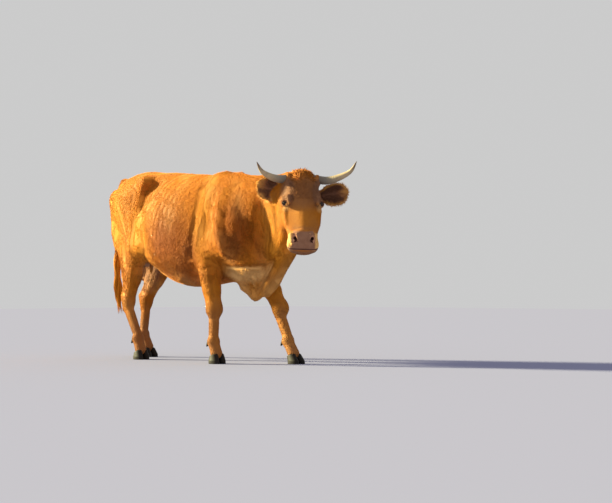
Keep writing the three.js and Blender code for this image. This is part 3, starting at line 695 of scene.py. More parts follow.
bodyParts = tailPieces() + udderPieces() + [(ear(side), 16) for side in (-1, 1)]
faceParts = facePieces()


def skinShape(p):
    d = joined(fullness, p, flesh(p), farthest["added"]) + coatAt(p) - rises(p)
    d = joined(bodyParts, p, d, farthest["added"])
    nearFace = np.flatnonzero(headFlesh(p) < farthest["added"])
    if len(nearFace):
        q = headFrame(p[:, nearFace])
        face = d[nearFace] / head["size"]
        face = -blend(-face, -noseSides(q), nose["fillet"])
        face = joined(faceParts, q, face, farthest["added"])
        face = -blend(-face, mouthLine(q), mouth["fillet"])
        d[nearFace] = face * head["size"]
    return d


# The skin as a mesh
skin = {"low": (-850, -430, -20), "high": (1550, 400, 1500), "cell": 5, "coarse": 4, "faces": 125000}


# a grid with straight-line values between those of a coarser one
def finer(values, times):
    for axis in range(3):
        a = np.moveaxis(values, axis, 0)
        steps = [a[:-1] * (1 - i / times) + a[1:] * (i / times) for i in range(times)]
        longer = np.stack(steps, 1).reshape((-1,) + a.shape[1:])
        values = np.moveaxis(np.concatenate((longer, a[-1:])), 0, axis)
    return values


# quads over the zero level of a shape, found on a fine grid close to it
def surfaceOf(shape):
    low = np.array(skin["low"], np.float32)
    wide = skin["cell"] * skin["coarse"]
    count = np.ceil((np.array(skin["high"]) - low) / wide).astype(int) + 1
    grid = np.stack(np.meshgrid(*(np.arange(n) for n in count), indexing="ij")).reshape(3, -1)
    values = distances(shape, low[:, None] + grid * wide).reshape(count).astype(np.float32)
    values = finer(values, skin["coarse"])
    close = np.stack(np.nonzero(np.abs(values) < wide))
    values[tuple(close)] = distances(shape, low[:, None] + close * skin["cell"])
    report(f"{close.shape[1]} points near the skin")
    field = openvdb.FloatGrid()
    field.background = 1000.0
    field.copyFromArray(np.ascontiguousarray(values, np.float32))
    points, quads = field.convertToQuads(0.0)
    return low + np.array(points) * skin["cell"], np.array(quads)


# the shape's slope at points, as three rows
def slopeOf(shape, p, step=0.8):
    steps = [[step * (axis == k) * sign for k in range(3)] for axis in range(3) for sign in (1, -1)]
    d = distances(shape, np.concatenate([p + column(move) for move in steps], 1)).reshape(3, 2, -1)
    return (d[:, 0] - d[:, 1]) / (2 * step)


# moves points onto the surface
def settle(shape, p, passes=2, most=4):
    for _ in range(passes):
        d = distances(shape, p)
        slope = slopeOf(shape, p)
        steep = np.maximum((slope**2).sum(0), 0.2)
        p = p - slope * np.clip(d / steep, -most, most)
    return p


# a smooth mesh object from points in metres and faces of one length
def meshOf(name, points, faces, material=None):
    mesh = bpy.data.meshes.new(name)
    faces = np.asarray(faces, np.int32)
    mesh.vertices.add(len(points))
    mesh.vertices.foreach_set("co", np.asarray(points, np.float32).ravel())
    mesh.loops.add(faces.size)
    mesh.loops.foreach_set("vertex_index", faces.ravel())
    mesh.polygons.add(len(faces))
    mesh.polygons.foreach_set("loop_start", np.arange(0, faces.size, faces.shape[1], dtype=np.int32))
    mesh.update(calc_edges=True)
    mesh.polygons.foreach_set("use_smooth", [True] * len(faces))
    if material:
        mesh.materials.append(material)
    made = bpy.data.objects.new(name, mesh)
    bpy.context.scene.collection.objects.link(made)
    return made


# turns a closed piece's faces so that they point out
def outward(thing):
    work = bmesh.new()
    work.from_mesh(thing.data)
    bmesh.ops.recalc_face_normals(work, faces=work.faces)
    work.to_mesh(thing.data)
    work.free()
    return thing


# faces of a tube of rings, each of around points, with one more point to close each end
def tubeFaces(rings, around):
    faces = []
    for i in range(rings - 1):
        for j in range(around):
            a, b = i * around + j, i * around + (j + 1) % around
            faces += [(a, b, b + around), (a, b + around, a + around)]
    first, last, start = rings * around, rings * around + 1, (rings - 1) * around
    for j in range(around):
        faces += [(first, (j + 1) % around, j), (last, start + j, start + (j + 1) % around)]
    return faces


def pointsOf(mesh):
    co = np.zeros(len(mesh.vertices) * 3, np.float32)
    mesh.vertices.foreach_get("co", co)
    return co.reshape(-1, 3)


# a mesh's points back in flesh millimetres, as three rows
def fleshPoints(mesh):
    return (pointsOf(mesh) * 1000 + shift).T.astype(np.float32)


# turns an object's modifiers into plain mesh
def finished(thing):
    graph = bpy.context.evaluated_depsgraph_get()
    mesh = bpy.data.meshes.new_from_object(thing.evaluated_get(graph))
    thing.modifiers.clear()
    thing.data = mesh
    return thing


# fewer faces on the broad body, with the head and what is close to it, and the lower legs and feet, kept fine
def thinned(thing):
    p = fleshPoints(thing.data)
    keepHead = smooth(10, 120, headFlesh(p))
    weight = keepHead * smooth(250, 520, p[2])
    group = thing.vertex_groups.new(name="broad")
    for step in range(11):
        group.add(np.flatnonzero(np.round(weight * 10) == step).tolist(), step / 10, "REPLACE")
    fewer = thing.modifiers.new("fewer", "DECIMATE")
    fewer.ratio = skin["faces"] / (2 * len(thing.data.polygons))
    fewer.vertex_group = "broad"
    return finished(thing)


# how far points lie outside the parts of the face that need the finest faces, in millimetres
def offFeatures(p):
    q = headFrame(p)
    away = np.full(p.shape[1], 1e3)
    for side in (-1, 1):
        eye = column((eyes["down"], side * eyes["side"], eyes["out"]))
        away = np.minimum(away, np.sqrt(((q - eye) ** 2).sum(0)) - 30)
        away = np.minimum(away, np.sqrt(((q - column((484, side * 56, -62))) ** 2).sum(0)) - 32)
    lips = np.maximum(np.abs(mouthLine(q)), mouth["corner"] - 4 - q[0])
    return np.minimum(away, np.where(headFlesh(p) < 20, lips - 6, 1e3))


# lays chosen vertices of the skin back on its shape
def relax(thing, chosen):
    p = fleshPoints(thing.data)
    p[:, chosen] = settle(skinShape, p[:, chosen])
    thing.data.vertices.foreach_set("co", placed(p.T).astype(np.float32).ravel())
    thing.data.update()


# splits the faces round the eyes, nostrils and mouth
def refined(thing, within):
    close = offFeatures(fleshPoints(thing.data)) < within
    work = bmesh.new()
    work.from_mesh(thing.data)
    edges = [e for e in work.edges if close[e.verts[0].index] and close[e.verts[1].index]]
    bmesh.ops.subdivide_edges(work, edges=edges, cuts=1, use_grid_fill=True)
    bmesh.ops.triangulate(work, faces=[f for f in work.faces if len(f.verts) > 3])
    work.to_mesh(thing.data)
    work.free()
    relax(thing, np.arange(len(thing.data.vertices)) >= len(close))


def makeSkin():
    points, quads = surfaceOf(skinShape)
    thing = thinned(meshOf("skin", placed(points), quads))
    relax(thing, np.full(len(thing.data.vertices), True))
    report(f"skin has {len(thing.data.polygons)} faces before the face is refined")
    refined(thing, 8)
    refined(thing, 0)
    report(f"skin has {len(thing.data.polygons)} faces")
    return thing


skinPiece = makeSkin()


# Markings, painted light and shade, and the lie of the coat, worked out at each vertex of the skin
flow = {
    "trunk": (-1, 0, -0.5), "back": (-1, 0, 0), "belly": (-1, 0, 0.05), "neck": (-0.8, -0.1, -0.65),
    "leg": (-0.15, 0, -1), "rump": (-0.35, 0, -1), "whorl": 150,
}
hair = {
    "body": 0.024, "face": 0.011, "muzzle": 0.006, "leg": 0.016, "foot": 0.011, "dewlap": 0.026, "ear": 0.014,
}


def normalsOf(mesh):
    normals = np.zeros(len(mesh.vertices) * 3, np.float32)
    mesh.vertices.foreach_get("normal", normals)
    return normals.reshape(-1, 3).T


# how close points are to a centre, from 1 there to 0 at the radii
def nearTo(p, centre, radii):
    return 1 - smooth(0.35, 1, np.sqrt((((p - column(centre)) / column(radii)) ** 2).sum(0)))


# the same about a centre on either side of the middle line
def nearPair(p, centre, radii):
    x, y, z = centre
    return np.max([nearTo(p, (x, side * y, z), radii) for side in (-1, 1)], 0)


def blended(a, b, t):
    return np.asarray(a, np.float32).reshape(3, -1) * (1 - t) + np.asarray(b, np.float32).reshape(3, -1) * t


# smooth bumps from a few crossing waves, about -1 to 1
def waves(p, length, seed):
    turn = np.random.default_rng(seed).normal(size=(5, 3))
    turn /= np.linalg.norm(turn, axis=1)[:, None]
    start = np.random.default_rng(seed + 1).uniform(0, 6.28, 5)
    lengths = [length * (0.7 + 0.2 * i) for i in range(5)]
    return sum(np.sin(t @ p * 6.28 / long + s) for t, long, s in zip(turn, lengths, start)) / 2.5


# distance to the middle line of the tail
def fromTail(p):
    return np.min([limb(a, b, 1, 1)(p) for a, b in zip(tailPath, tailPath[1:])], 0)


# place on an ear: share of its length, and how far across and above its stalk
def onEar(p, side):
    q = earAxes(side).astype(np.float32) @ (p - column(earRoot(side)))
    return q[0] / ears[side]["length"], q[1], q[2]


def earMasks(p):
    whole, inside, rim = np.zeros((3, p.shape[1]))
    for side in (-1, 1):
        u, across, up = onEar(p, side)
        shape = ear(side)
        close = (u > -0.1) & (u < 1.2) & (np.abs(across) < 110) & (np.abs(up) < 110)
        at = np.flatnonzero(close)
        on = 1 - smooth(3, 14, shape(p[:, at]))
        whole[at] = np.maximum(whole[at], on * smooth(0.02, 0.2, u[at]))
        share = np.clip(u[at], 0, 1)
        bend, radius, height = earSection(side, share)
        w = up[at] - height
        into = 1 - smooth(radius - 1.5, radius + 1.5, np.hypot(across[at], w))
        half = radius * np.sin(bend)
        fromEdge = np.minimum(half - np.abs(across[at]), (1 - u[at]) * ears[side]["length"])
        inside[at] = np.maximum(inside[at], on * into * smooth(2, 16, fromEdge))
        rim[at] = np.maximum(rim[at], on * (1 - smooth(4, 20, fromEdge)) * smooth(0.1, 0.3, u[at]))
    return whole, inside, rim


# marks are what the colour reads; masks say where the face, the ears and their inside are
def markings(p, normal):
    q = headFrame(p)
    x, y, z = q
    side = np.abs(y)
    face = 1 - smooth(8, 60, headFlesh(p))
    earOn, earInside, earRim = earMasks(p)
    face = face * (1 - earOn)
    down = 0.909 * x - 0.55 * z  # along the front of the face
    lip = np.abs(mouthLine(q))
    eyeDown, eyeSide, eyeOut = eyes["down"], eyes["side"], eyes["out"]
    # bare pad of the nose, nostrils and lids
    padSide = side - 0.08 * (down - 480) + 0.012 * np.maximum(440 - down, 0) ** 2
    pad = smooth(416, 430, down + 0.002 * y**2) * (1 - smooth(66, 78, padSide))
    pad = pad * face * smooth(-10, -4, z - mouth["line"] + mouth["slope"] * (540 - x))
    nostrils = nearPair(q, (482, 56, -66), (36, 25, 40))
    inNostril = smooth(0.35, 0.8, nostrils) * smooth(-6, -11, headOnly(q))
    eyeRing = nearPair(q, (eyeDown + 22, eyeSide + 2, eyeOut - 4), (48, 40, 44))
    lids = nearPair(q, (eyeDown + 2, eyeSide + 10, eyeOut + 8), (33, 28, 26))
    nearLids = nearPair(q, (eyeDown + 4, eyeSide + 8, eyeOut + 12), (33, 26, 28))
    # hair of the face, with painted light and shade on it
    muzzle = smooth(405, 455, x) * face * (1 - pad) * smooth(52, 78, side)
    belowLip = z < mouth["line"] - 6 + mouth["slope"] * (x - 540)
    chin = smooth(430, 480, x) * smooth(112, 130, -z) * face * belowLip
    # the forehead's hair is a little darker, and most of its darkening is painted shade
    forehead = (1 - smooth(100, 124, side)) * (1 - smooth(240, 330, x + 0.5 * side)) * smooth(-110, -60, z)
    forehead = forehead * face * smooth(10, 120, x)
    band = np.exp(-(((down - 402) / 18) ** 2)) * (1 - smooth(50, 84, side)) * face
    # painted shade over the face apart from the muzzle
    shade = face * (1 - muzzle)
    # painted shadow of the horns and ears over the temples
    paintedTempleShadow = nearTo(np.array((x, side, z)), (136, 104, -46), (130, 62, 120)) * face
    # the sides of the nose, which take a painted highlight
    noseSide = face * smooth(170, 230, x) * (1 - muzzle) * (1 - pad) * smooth(-120, -70, z)
    # painted shade on the head and neck about the roots of the ears
    roots = [earRoot(k) + (-20, 0, -20) for k in (-1, 1)]
    paintedEarRootShade = np.max([nearTo(p, root, (105, 95, 90)) for root in roots], 0)
    # trunk and legs
    low = 1 - smooth(480, 760, p[2])
    under = smooth(0.25, 0.8, -normal[2]) * (p[2] > 420)
    udder = nearTo(p, (-428, 0, 770), (190, 132, 160))
    # inner faces of the thighs: slightly paler hair, darkened by painted shadow of the other leg
    innerThigh = smooth(0.3, 0.8, -normal[1] * np.sign(p[1])) * smooth(430, 640, p[2])
    innerThigh = innerThigh * (1 - smooth(860, 960, p[2])) * (p[0] < -150)
    brisket = 0.85 * smooth(708, 660, p[2]) * smooth(560, 600, p[2])
    brisket = brisket * smooth(590, 640, p[0]) * smooth(920, 850, p[0])
    hanging = [limb(a, b, 20, 20)(p) for (a, _), (b, _) in zip(dewlapEdge, dewlapEdge[1:])]
    dewlap = 1 - smooth(10, 70, np.min(hanging, 0))
    knees = np.max([nearTo(p, plus(leg["knee"], (20, 0, 0)), (90, 80, 130)) for leg in foreLegs], 0)
    shins = (1 - smooth(200, 480, p[2])) * (1 - face)
    # the marks themselves, several of them painted light and shade
    # painted shade on the barrel and the shoulder, darker towards the feet, with random waves of tone
    deep = nearTo(p, (170, 0, 860), (400, 900, 420)) * (np.abs(p[1]) > 60)
    deep = deep + 0.8 * nearTo(p, (740, 0, 960), (200, 900, 330))
    deep = np.clip(deep + 0.25 * smooth(430, 120, p[2]) + 0.1 * waves(p, 260, 13), 0, 1) * (1 - face)
    # painted highlights where the sun falls strongest: rump, flank, shoulder, neck front, the lower forelegs
    # (more on the left), the sides of the nose and the rims of the ears
    bright = np.max([
        nearTo(p, (-620, 0, 1080), (300, 900, 420)),
        nearTo(p, (-230, 0, 960), (170, 900, 300)),
        nearTo(p, (1040, 0, 900), (190, 900, 420)) * (1 - face),
        0.8 * nearTo(p, (470, 0, 1020), (90, 900, 420)),
        smooth(620, 520, p[2]) * (p[0] > 300) * (0.5 + 0.5 * (p[1] > 20)),
        0.36 * noseSide,
        earRim * (1 - earInside),
    ], 0)
    pale = np.clip(
        0.95 * muzzle + 0.9 * eyeRing * face + 0.12 * under * low + 0.2 * innerThigh
        + 1.05 * brisket + 0.4 * dewlap + 0.45 * earRim + 0.1 * waves(p, 210, 3), 0, 1)
    pale = np.maximum(pale, 0.9 * (smooth(0.15, 0.5, nostrils) - inNostril) * pad)
    # darker hair on the chin, nose band, knees, shins and inside the ears, with painted shade on the
    # forehead, the face, the temples, the inner thighs and about the roots of the ears
    dusk = np.clip(
        0.6 * forehead + 0.08 * shade + 0.9 * chin + 0.9 * paintedTempleShadow + 0.9 * innerThigh + 1.1 * earInside
        + 0.4 * band + 0.3 * knees + 0.55 * shins + 0.1 * waves(p, 160, 8) - 0.6 * earRim, 0, 1)
    dusk = np.maximum(dusk, 0.95 * paintedEarRootShade * (1 - earRim))
    bare = np.clip(pad + nostrils * face + 0.9 * lids * face + 0.8 * udder, 0, 1)
    bare = np.maximum(bare, (1 - smooth(1.5, 4.5, lip)) * face * (x > mouth["corner"]))
    # painted shade deep in the nostrils and along the cut between the lips; the lids and the inside of the
    # ears are darker skin and hair
    dark = np.clip(np.maximum(inNostril, 0.85 - smooth(0, 3, lip)) * face + 0.5 * earInside, 0, 1)
    dark = np.maximum(dark, 0.85 * nearLids * face)
    bright = np.clip(bright, 0, 1)
    marks = {"deep": deep, "bright": bright, "pale": pale, "dusk": dusk, "bare": bare, "dark": dark}
    return marks, {"face": face, "ear": earOn, "earInside": earInside}


def lieOf(p, normal, masks):
    q = headFrame(p)
    x, y, z = q
    fromWhorl = x - flow["whorl"]
    onFace = np.array((fromWhorl, y * 0.5, -0.2 * np.abs(fromWhorl) - 1.2 * np.maximum(-z - 90, 0)))
    onFace = unit(onFace, 1e-3)
    cheek = smooth(60, 120, -z) * smooth(70, 110, np.abs(y))
    onFace = blended(onFace, np.array((-0.35 * np.ones_like(x), 0 * x, -np.ones_like(x))), cheek * 0.8)
    lie = blended(flow["trunk"], flow["back"], smooth(1180, 1330, p[2]))
    lie = blended(lie, flow["belly"], smooth(0.3, 0.8, -normal[2]) * (p[2] < 760))
    lie = blended(lie, flow["neck"], smooth(600, 800, p[0]))
    lie = blended(lie, flow["rump"], 1 - smooth(-690, -560, p[0]))
    legs = (1 - smooth(640, 860, p[2])) * (1 - smooth(0.5, 0.9, -normal[2]) * (p[2] > 450))
    legs = legs * (1 - (1 - smooth(60, 150, np.abs(p[1]))) * (p[2] > 480) * (p[0] > -150))
    lie = blended(lie, flow["leg"], legs)
    lie = blended(lie, headTurn.astype(np.float32) @ onFace, masks["face"])
    for side in (-1, 1):
        u, across, _ = onEar(p, side)
        on = masks["ear"] * (u > -0.1) * (u < 1.2) * (np.abs(across) < 110)
        lie = blended(lie, earAxes(side)[0], on)
    lie = blended(lie, (0, 0, -1), 1 - smooth(28, 60, fromTail(p)))
    lie = unit(lie) + 0.07 * np.array([waves(p, 170, 20 + k) for k in range(3)])
    return unit(lie - normal * (lie * normal).sum(0))


# length of the coat, in metres
def napOf(p, masks):
    q = headFrame(p)
    nap = np.full(p.shape[1], hair["body"])
    nap = nap + (hair["leg"] - nap) * (1 - smooth(420, 700, p[2]))
    nap = nap + (hair["foot"] - nap) * (1 - smooth(90, 260, p[2]))
    nap = nap + (hair["dewlap"] - nap) * nearTo(p, (900, 30, 700), (260, 120, 240))
    nap = nap + (hair["face"] - nap) * masks["face"]
    nap = nap + (hair["muzzle"] - nap) * masks["face"] * smooth(330, 450, q[0])
    return nap + (hair["ear"] - nap) * masks["ear"]


regions = ("rumpRight", "rumpLeft", "barrelRight", "barrelLeft", "shoulderRight", "shoulderLeft", "neck",
           "head", "hindlegs", "forelegs", "tail")


# number of the piece of coat that each point belongs to
def regionOf(p, masks):
    left = (p[1] > 0).astype(int)
    region = np.where(p[0] < -330, 0, np.where(p[0] < 250, 2, 4)) + left
    region = np.where(p[0] > 790, 6, region)
    legs = p[2] < 620
    region = np.where(legs & (p[0] < -150), 8, region)
    region = np.where(legs & (p[0] > 300) & (np.abs(p[1]) > 90), 9, region)
    region = np.where(headFlesh(p) < 26, 7, region)
    region = np.where(masks["ear"] > 0.05, 7, region)
    return np.where((fromTail(p) < 46) & (p[2] < 1290), 10, region)


def storeValues(mesh, name, values, kind="FLOAT"):
    layer = mesh.attributes.get(name) or mesh.attributes.new(name, kind, "POINT")
    field = "vector" if kind == "FLOAT_VECTOR" else "value"
    layer.data.foreach_set(field, np.ascontiguousarray(values.T, np.float32).ravel())


def markSkin(thing):
    mesh = thing.data
    p = fleshPoints(mesh)
    normal = normalsOf(mesh)
    marks, masks = markings(p, normal)
    cover = np.clip(1 - 1.3 * marks["bare"] - 0.55 * masks["earInside"], 0, 1)
    marks |= {"nap": napOf(p, masks), "cover": cover, "region": regionOf(p, masks),
              "tip": np.full(p.shape[1], 0.35), "tone": np.full(p.shape[1], 0.5)}
    for name, value in marks.items():
        storeValues(mesh, name, value)
    storeValues(mesh, "lie", lieOf(p, normal, masks), "FLOAT_VECTOR")
    report("skin is marked")


# the skin's own unwrap, in which each tuft has a small patch at its root
def unwrap(thing):
    bpy.context.view_layer.objects.active = thing
    thing.select_set(True)
    thing.data.uv_layers.new(name="OFBake")
    bpy.ops.object.mode_set(mode="EDIT")
    bpy.ops.mesh.select_all(action="SELECT")
    bpy.ops.uv.smart_project(angle_limit=math.radians(70), island_margin=0.002)
    bpy.ops.object.mode_set(mode="OBJECT")
    thing.select_set(False)
    report("skin is unwrapped")


markSkin(skinPiece)
unwrap(skinPiece)


# Node trees
def socketOf(value):
    return value.socket if isinstance(value, Value) else value


# a node tree that makes its nodes from a type, settings and socket values
class Tree:
    def __init__(self, tree):
        self.tree = tree

    def node(self, kind, settings=None, sockets=None):
        made = self.tree.nodes.new(kind)
        for name, value in (settings or {}).items():
            if name == "stops":
                while len(made.color_ramp.elements) < len(value):
                    made.color_ramp.elements.new(1)
                for stop, (place, colour) in zip(made.color_ramp.elements, value):
                    stop.position = place
                    stop.color = colour
            else:
                setattr(made, name, value)
        for name, value in (sockets or {}).items():
            if isinstance(value, (Value, bpy.types.NodeSocket)):
                self.tree.links.new(socketOf(value), made.inputs[name])
            else:
                made.inputs[name].default_value = value
        return made

    def value(self, kind, settings=None, sockets=None, output=0):
        return Value(self, self.node(kind, settings, sockets).outputs[output])

    def mark(self, name):
        return self.value("ShaderNodeAttribute", {"attribute_name": name}, None, "Fac")

    # where a point lies on the object
    def place(self):
        return self.node("ShaderNodeTexCoord").outputs["Object"]

    def noise(self, place, scale, detail):
        sockets = {"Vector": place, "Scale": scale, "Detail": detail}
        return self.value("ShaderNodeTexNoise", None, sockets, "Fac")

    def ramp(self, factor, stops):
        return self.value("ShaderNodeValToRGB", {"stops": stops}, {"Fac": factor}, "Color")

    def bump(self, height, strength, distance):
        sockets = {"Height": height, "Strength": strength, "Distance": distance}
        return self.value("ShaderNodeBump", None, sockets, "Normal")

    def mixed(self, a, b, factor):
        return self.value("ShaderNodeMix", {"data_type": "RGBA"}, {0: factor, 6: a, 7: b}, 2)


# a socket that plain arithmetic can be written with
class Value:
    def __init__(self, tree, socket):
        self.tree = tree
        self.socket = socket

    def maths(self, operation, a, b, clamp=False):
        settings = {"operation": operation, "use_clamp": clamp}
        return self.tree.value("ShaderNodeMath", settings, {0: a, 1: b})

    def __add__(self, other):
        return self.maths("ADD", self, other)

    __radd__ = __add__

    def __sub__(self, other):
        return self.maths("SUBTRACT", self, other)

    def __rsub__(self, other):
        return self.maths("SUBTRACT", other, self)

    def __mul__(self, other):
        return self.maths("MULTIPLY", self, other)

    __rmul__ = __mul__

    def __pow__(self, other):
        return self.maths("POWER", self, other)

    def clamped(self):
        return self.maths("ADD", self, 0.0, True)


def newMaterial(name):
    material = bpy.data.materials.new(name)
    material.use_nodes = True
    tree = Tree(material.node_tree)
    return material, tree, material.node_tree.nodes["Principled BSDF"]


def linked(tree, socket, value):
    tree.tree.links.new(socketOf(value), socket)


# gives a surface its values, and links those that come from nodes
def setSurface(tree, surface, values):
    for name, value in values.items():
        if isinstance(value, Value):
            linked(tree, surface.inputs[name], value)
        else:
            surface.inputs[name].default_value = value


# Coat: wheat-red hair, paler and darker where the skin is marked so, with painted highlights and painted
# shade, and bare pinkish skin
# deep: painted shade. bright: painted highlight. dark: darker hair and painted shade. inside: painted shade
# in the nostrils and between the lips, and the dark lids and ear linings
coat = {
    "red": (0.38, 0.106, 0.010, 1), "gold": (0.55, 0.21, 0.014, 1), "dark": (0.25, 0.115, 0.060, 1),
    "deep": (0.215, 0.050, 0.004, 1), "bright": (0.64, 0.245, 0.018, 1), "pink": (0.48, 0.23, 0.14, 1),
    "cream": (0.86, 0.52, 0.20, 1), "skin": (0.22, 0.10, 0.055, 1), "inside": (0.110, 0.042, 0.032, 1),
    "mottle": (0.36, 0.18, 0.11, 1),
}
grain = {"broad": 7.0, "fine": 55.0, "mottle": 38.0, "pores": 260.0, "strands": 420.0}  # per metre
toneShares = {"tone": 0.2, "tip": 0.24, "fine": 0.42, "broad": 0.46, "less": 0.34}


def coatMaterial():
    material, tree, surface = newMaterial("coatHair")
    place = tree.place()
    pale, dusk, bare = tree.mark("pale"), tree.mark("dusk"), tree.mark("bare")
    broad, fine = tree.noise(place, grain["broad"], 2.0), tree.noise(place, grain["fine"], 2.0)
    tone = tree.mark("tone") * toneShares["tone"] + tree.mark("tip") * toneShares["tip"]
    tone = (tone + fine * toneShares["fine"] + broad * toneShares["broad"] - toneShares["less"]).clamped()
    colour = tree.mixed(coat["red"], coat["gold"], tone)
    # painted shade and painted highlights are mixed in here with the paler and darker hair
    for name, amount in (("deep", tree.mark("deep") * (1.1 - 0.5 * tone)),
                         ("bright", tree.mark("bright") * (0.5 + 0.6 * tone)),
                         ("cream", pale * (0.7 + 0.6 * tone)),
                         ("dark", dusk * (1.15 - 0.5 * tone))):
        colour = tree.mixed(colour, coat[name], amount.clamped())
    mottled = tree.mixed(coat["skin"], coat["mottle"], tree.noise(place, grain["mottle"], 2.0))
    mottled = tree.mixed(mottled, coat["pink"], pale)
    colour = tree.mixed(colour, mottled, bare)
    colour = tree.mixed(colour, coat["inside"], tree.mark("dark"))
    cells = {"Vector": place, "Scale": grain["pores"]}
    pores = tree.value("ShaderNodeTexVoronoi", {"feature": "DISTANCE_TO_EDGE"}, cells, "Distance")
    height = pores * bare * 0.9 + tree.noise(place, grain["strands"], 3.0) * (1 - bare) * 0.5
    setSurface(tree, surface, {"Base Color": colour, "Roughness": 0.62 - 0.27 * bare,
                               "Specular IOR Level": 0.08, "Normal": tree.bump(height, 0.5, 0.002)})
    return material


coatHair = coatMaterial()
skinPiece.data.materials.append(coatHair)
otherNodes = ("eye", "horn", "claw", "switch")
fleshNodes = [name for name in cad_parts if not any(kind in name for kind in otherNodes)]
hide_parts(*fleshNodes)
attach(skinPiece, "root")


# Eyes: a ball with a bulging cornea, looking out and a little forward
eye = {"cornea": 0.62, "bulge": 1.2, "gap": 0.4, "rings": 28, "around": 40}
eyeColour = {
    "pupil": (0.003, 0.003, 0.004, 1), "centre": (0.020, 0.008, 0.004, 1), "iris": (0.030, 0.012, 0.006, 1),
    "ring": (0.006, 0.003, 0.002, 1), "corner": (0.03, 0.016, 0.012, 1), "white": (0.12, 0.07, 0.055, 1),
}


def eyeAxis(side):
    axis = headTurn @ np.array((0.12, side * 0.74, 0.66))
    return axis / np.linalg.norm(axis)


def makeEye(side):
    centre = onHead((eyes["down"], side * eyes["side"], eyes["out"]))
    axis = eyeAxis(side)
    across = squareTo(axis, headTurn @ np.array((1, 0, 0)))
    third = np.cross(axis, across)
    angles = np.linspace(0, math.pi, eye["rings"] + 1)[1:-1]
    turns = np.arange(eye["around"]) * 2 * math.pi / eye["around"]
    front = centre + axis * (eyes["radius"] + eye["bulge"] - eye["gap"])
    points, off, wide = [front], [0], [0]
    for angle in angles:
        bulge = eye["bulge"] * smooth(0, 1, 1 - angle / eye["cornea"]) if angle < eye["cornea"] else 0
        r = eyes["radius"] - eye["gap"] + bulge
        for t in turns:
            outer = across * math.cos(t) + third * math.sin(t)
            points.append(centre + r * (axis * math.cos(angle) + outer * math.sin(angle)))
            off.append(angle)
            wide.append(math.hypot(math.sin(angle) * math.cos(t), math.sin(angle) * math.sin(t) * 1.9))
    points.append(centre - axis * (eyes["radius"] - eye["gap"]))
    off.append(math.pi)
    wide.append(3)
    n = eye["around"]
    faces = [(0, 1 + j, 1 + (j + 1) % n) for j in range(n)]
    for i in range(len(angles) - 1):
        for j in range(n):
            a, b = 1 + i * n + j, 1 + i * n + (j + 1) % n
            faces += [(a, a + n, b + n), (a, b + n, b)]
    last = len(points) - 1
    faces += [(last, last - n + (j + 1) % n, last - n + j) for j in range(n)]
    name = "eyeball_" + ("right" if side < 0 else "left")
    thing = outward(meshOf(name, placed(points), faces, eyeMaterial))
    storeValues(thing.data, "fromAxis", np.array(off))
    storeValues(thing.data, "pupil", np.array(wide))
    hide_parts("eye_" + ("right" if side < 0 else "left"))
    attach(thing, "root")


def makeEyeMaterial():
    material, tree, surface = newMaterial("wetEye")
    ball = tree.ramp(tree.mark("fromAxis") * 0.62, [
        (0.0, eyeColour["centre"]), (0.45, eyeColour["iris"]), (0.62, eyeColour["ring"]),
        (0.72, eyeColour["corner"]), (0.95, eyeColour["white"]),
    ])
    edge = {"Value": tree.mark("pupil"), "From Min": 0.34, "From Max": 0.42}
    inPupil = tree.value("ShaderNodeMapRange", None, edge, "Result")
    setSurface(tree, surface, {"Base Color": tree.mixed(eyeColour["pupil"], ball, inPupil), "Roughness": 0.1,
                               "Coat Weight": 0.2, "Coat Roughness": 0.03, "IOR": 1.3})
    return material


eyeMaterial = makeEyeMaterial()
for side in (-1, 1):
    makeEye(side)
report("eyes are made")


# a smooth curve through points, with its knots spaced by the square root of their distance
def curveThrough(points, count):
    knots = np.array(points, float)
    knots = np.vstack((2 * knots[0] - knots[1], knots, 2 * knots[-1] - knots[-2]))
    fine = []
    for p0, p1, p2, p3 in zip(knots, knots[1:], knots[2:], knots[3:]):
        t0 = 0
        t1 = t0 + np.linalg.norm(p1 - p0) ** 0.5
        t2 = t1 + np.linalg.norm(p2 - p1) ** 0.5
        t3 = t2 + np.linalg.norm(p3 - p2) ** 0.5
        for t in np.linspace(t1, t2, 40, endpoint=False):
            a = (t1 - t) / (t1 - t0) * p0 + (t - t0) / (t1 - t0) * p1
            b = (t2 - t) / (t2 - t1) * p1 + (t - t1) / (t2 - t1) * p2
            c = (t3 - t) / (t3 - t2) * p2 + (t - t2) / (t3 - t2) * p3
            d = (t2 - t) / (t2 - t0) * a + (t - t0) / (t2 - t0) * b
            e = (t3 - t) / (t3 - t1) * b + (t - t1) / (t3 - t1) * c
            fine.append((t2 - t) / (t2 - t1) * d + (t - t1) / (t2 - t1) * e)
    fine = np.array(fine + [knots[-2]])
    run = np.concatenate(([0], np.cumsum(np.linalg.norm(np.diff(fine, axis=0), axis=1))))
    at = np.linspace(0, run[-1], count)
    return np.stack([np.interp(at, run, fine[:, k]) for k in range(3)], 1)


# a closed round sleeve along a curve; radiusAt takes the share of the length and the angle round it
def sleeve(name, path, radiusAt, around, material, across=(0, 1, 0.2)):
    across = np.array(across, float)
    points, share = [], []
    tangents = np.gradient(path, axis=0)
    for i, (at, along) in enumerate(zip(path, tangents)):
        along = along / np.linalg.norm(along)
        across = squareTo(along, across)
        third = np.cross(along, across)
        u = i / (len(path) - 1)
        for j in range(around):
            a = 2 * math.pi * j / around
            r = radiusAt(u, a)
            points.append(at + across * r * math.cos(a) + third * r * math.sin(a))
            share.append(u)
    points += [path[0], path[-1]]
    share += [0, 1]
    thing = outward(meshOf(name, placed(points), tubeFaces(len(path), around), material))
    storeValues(thing.data, "along", np.array(share))
    return thing


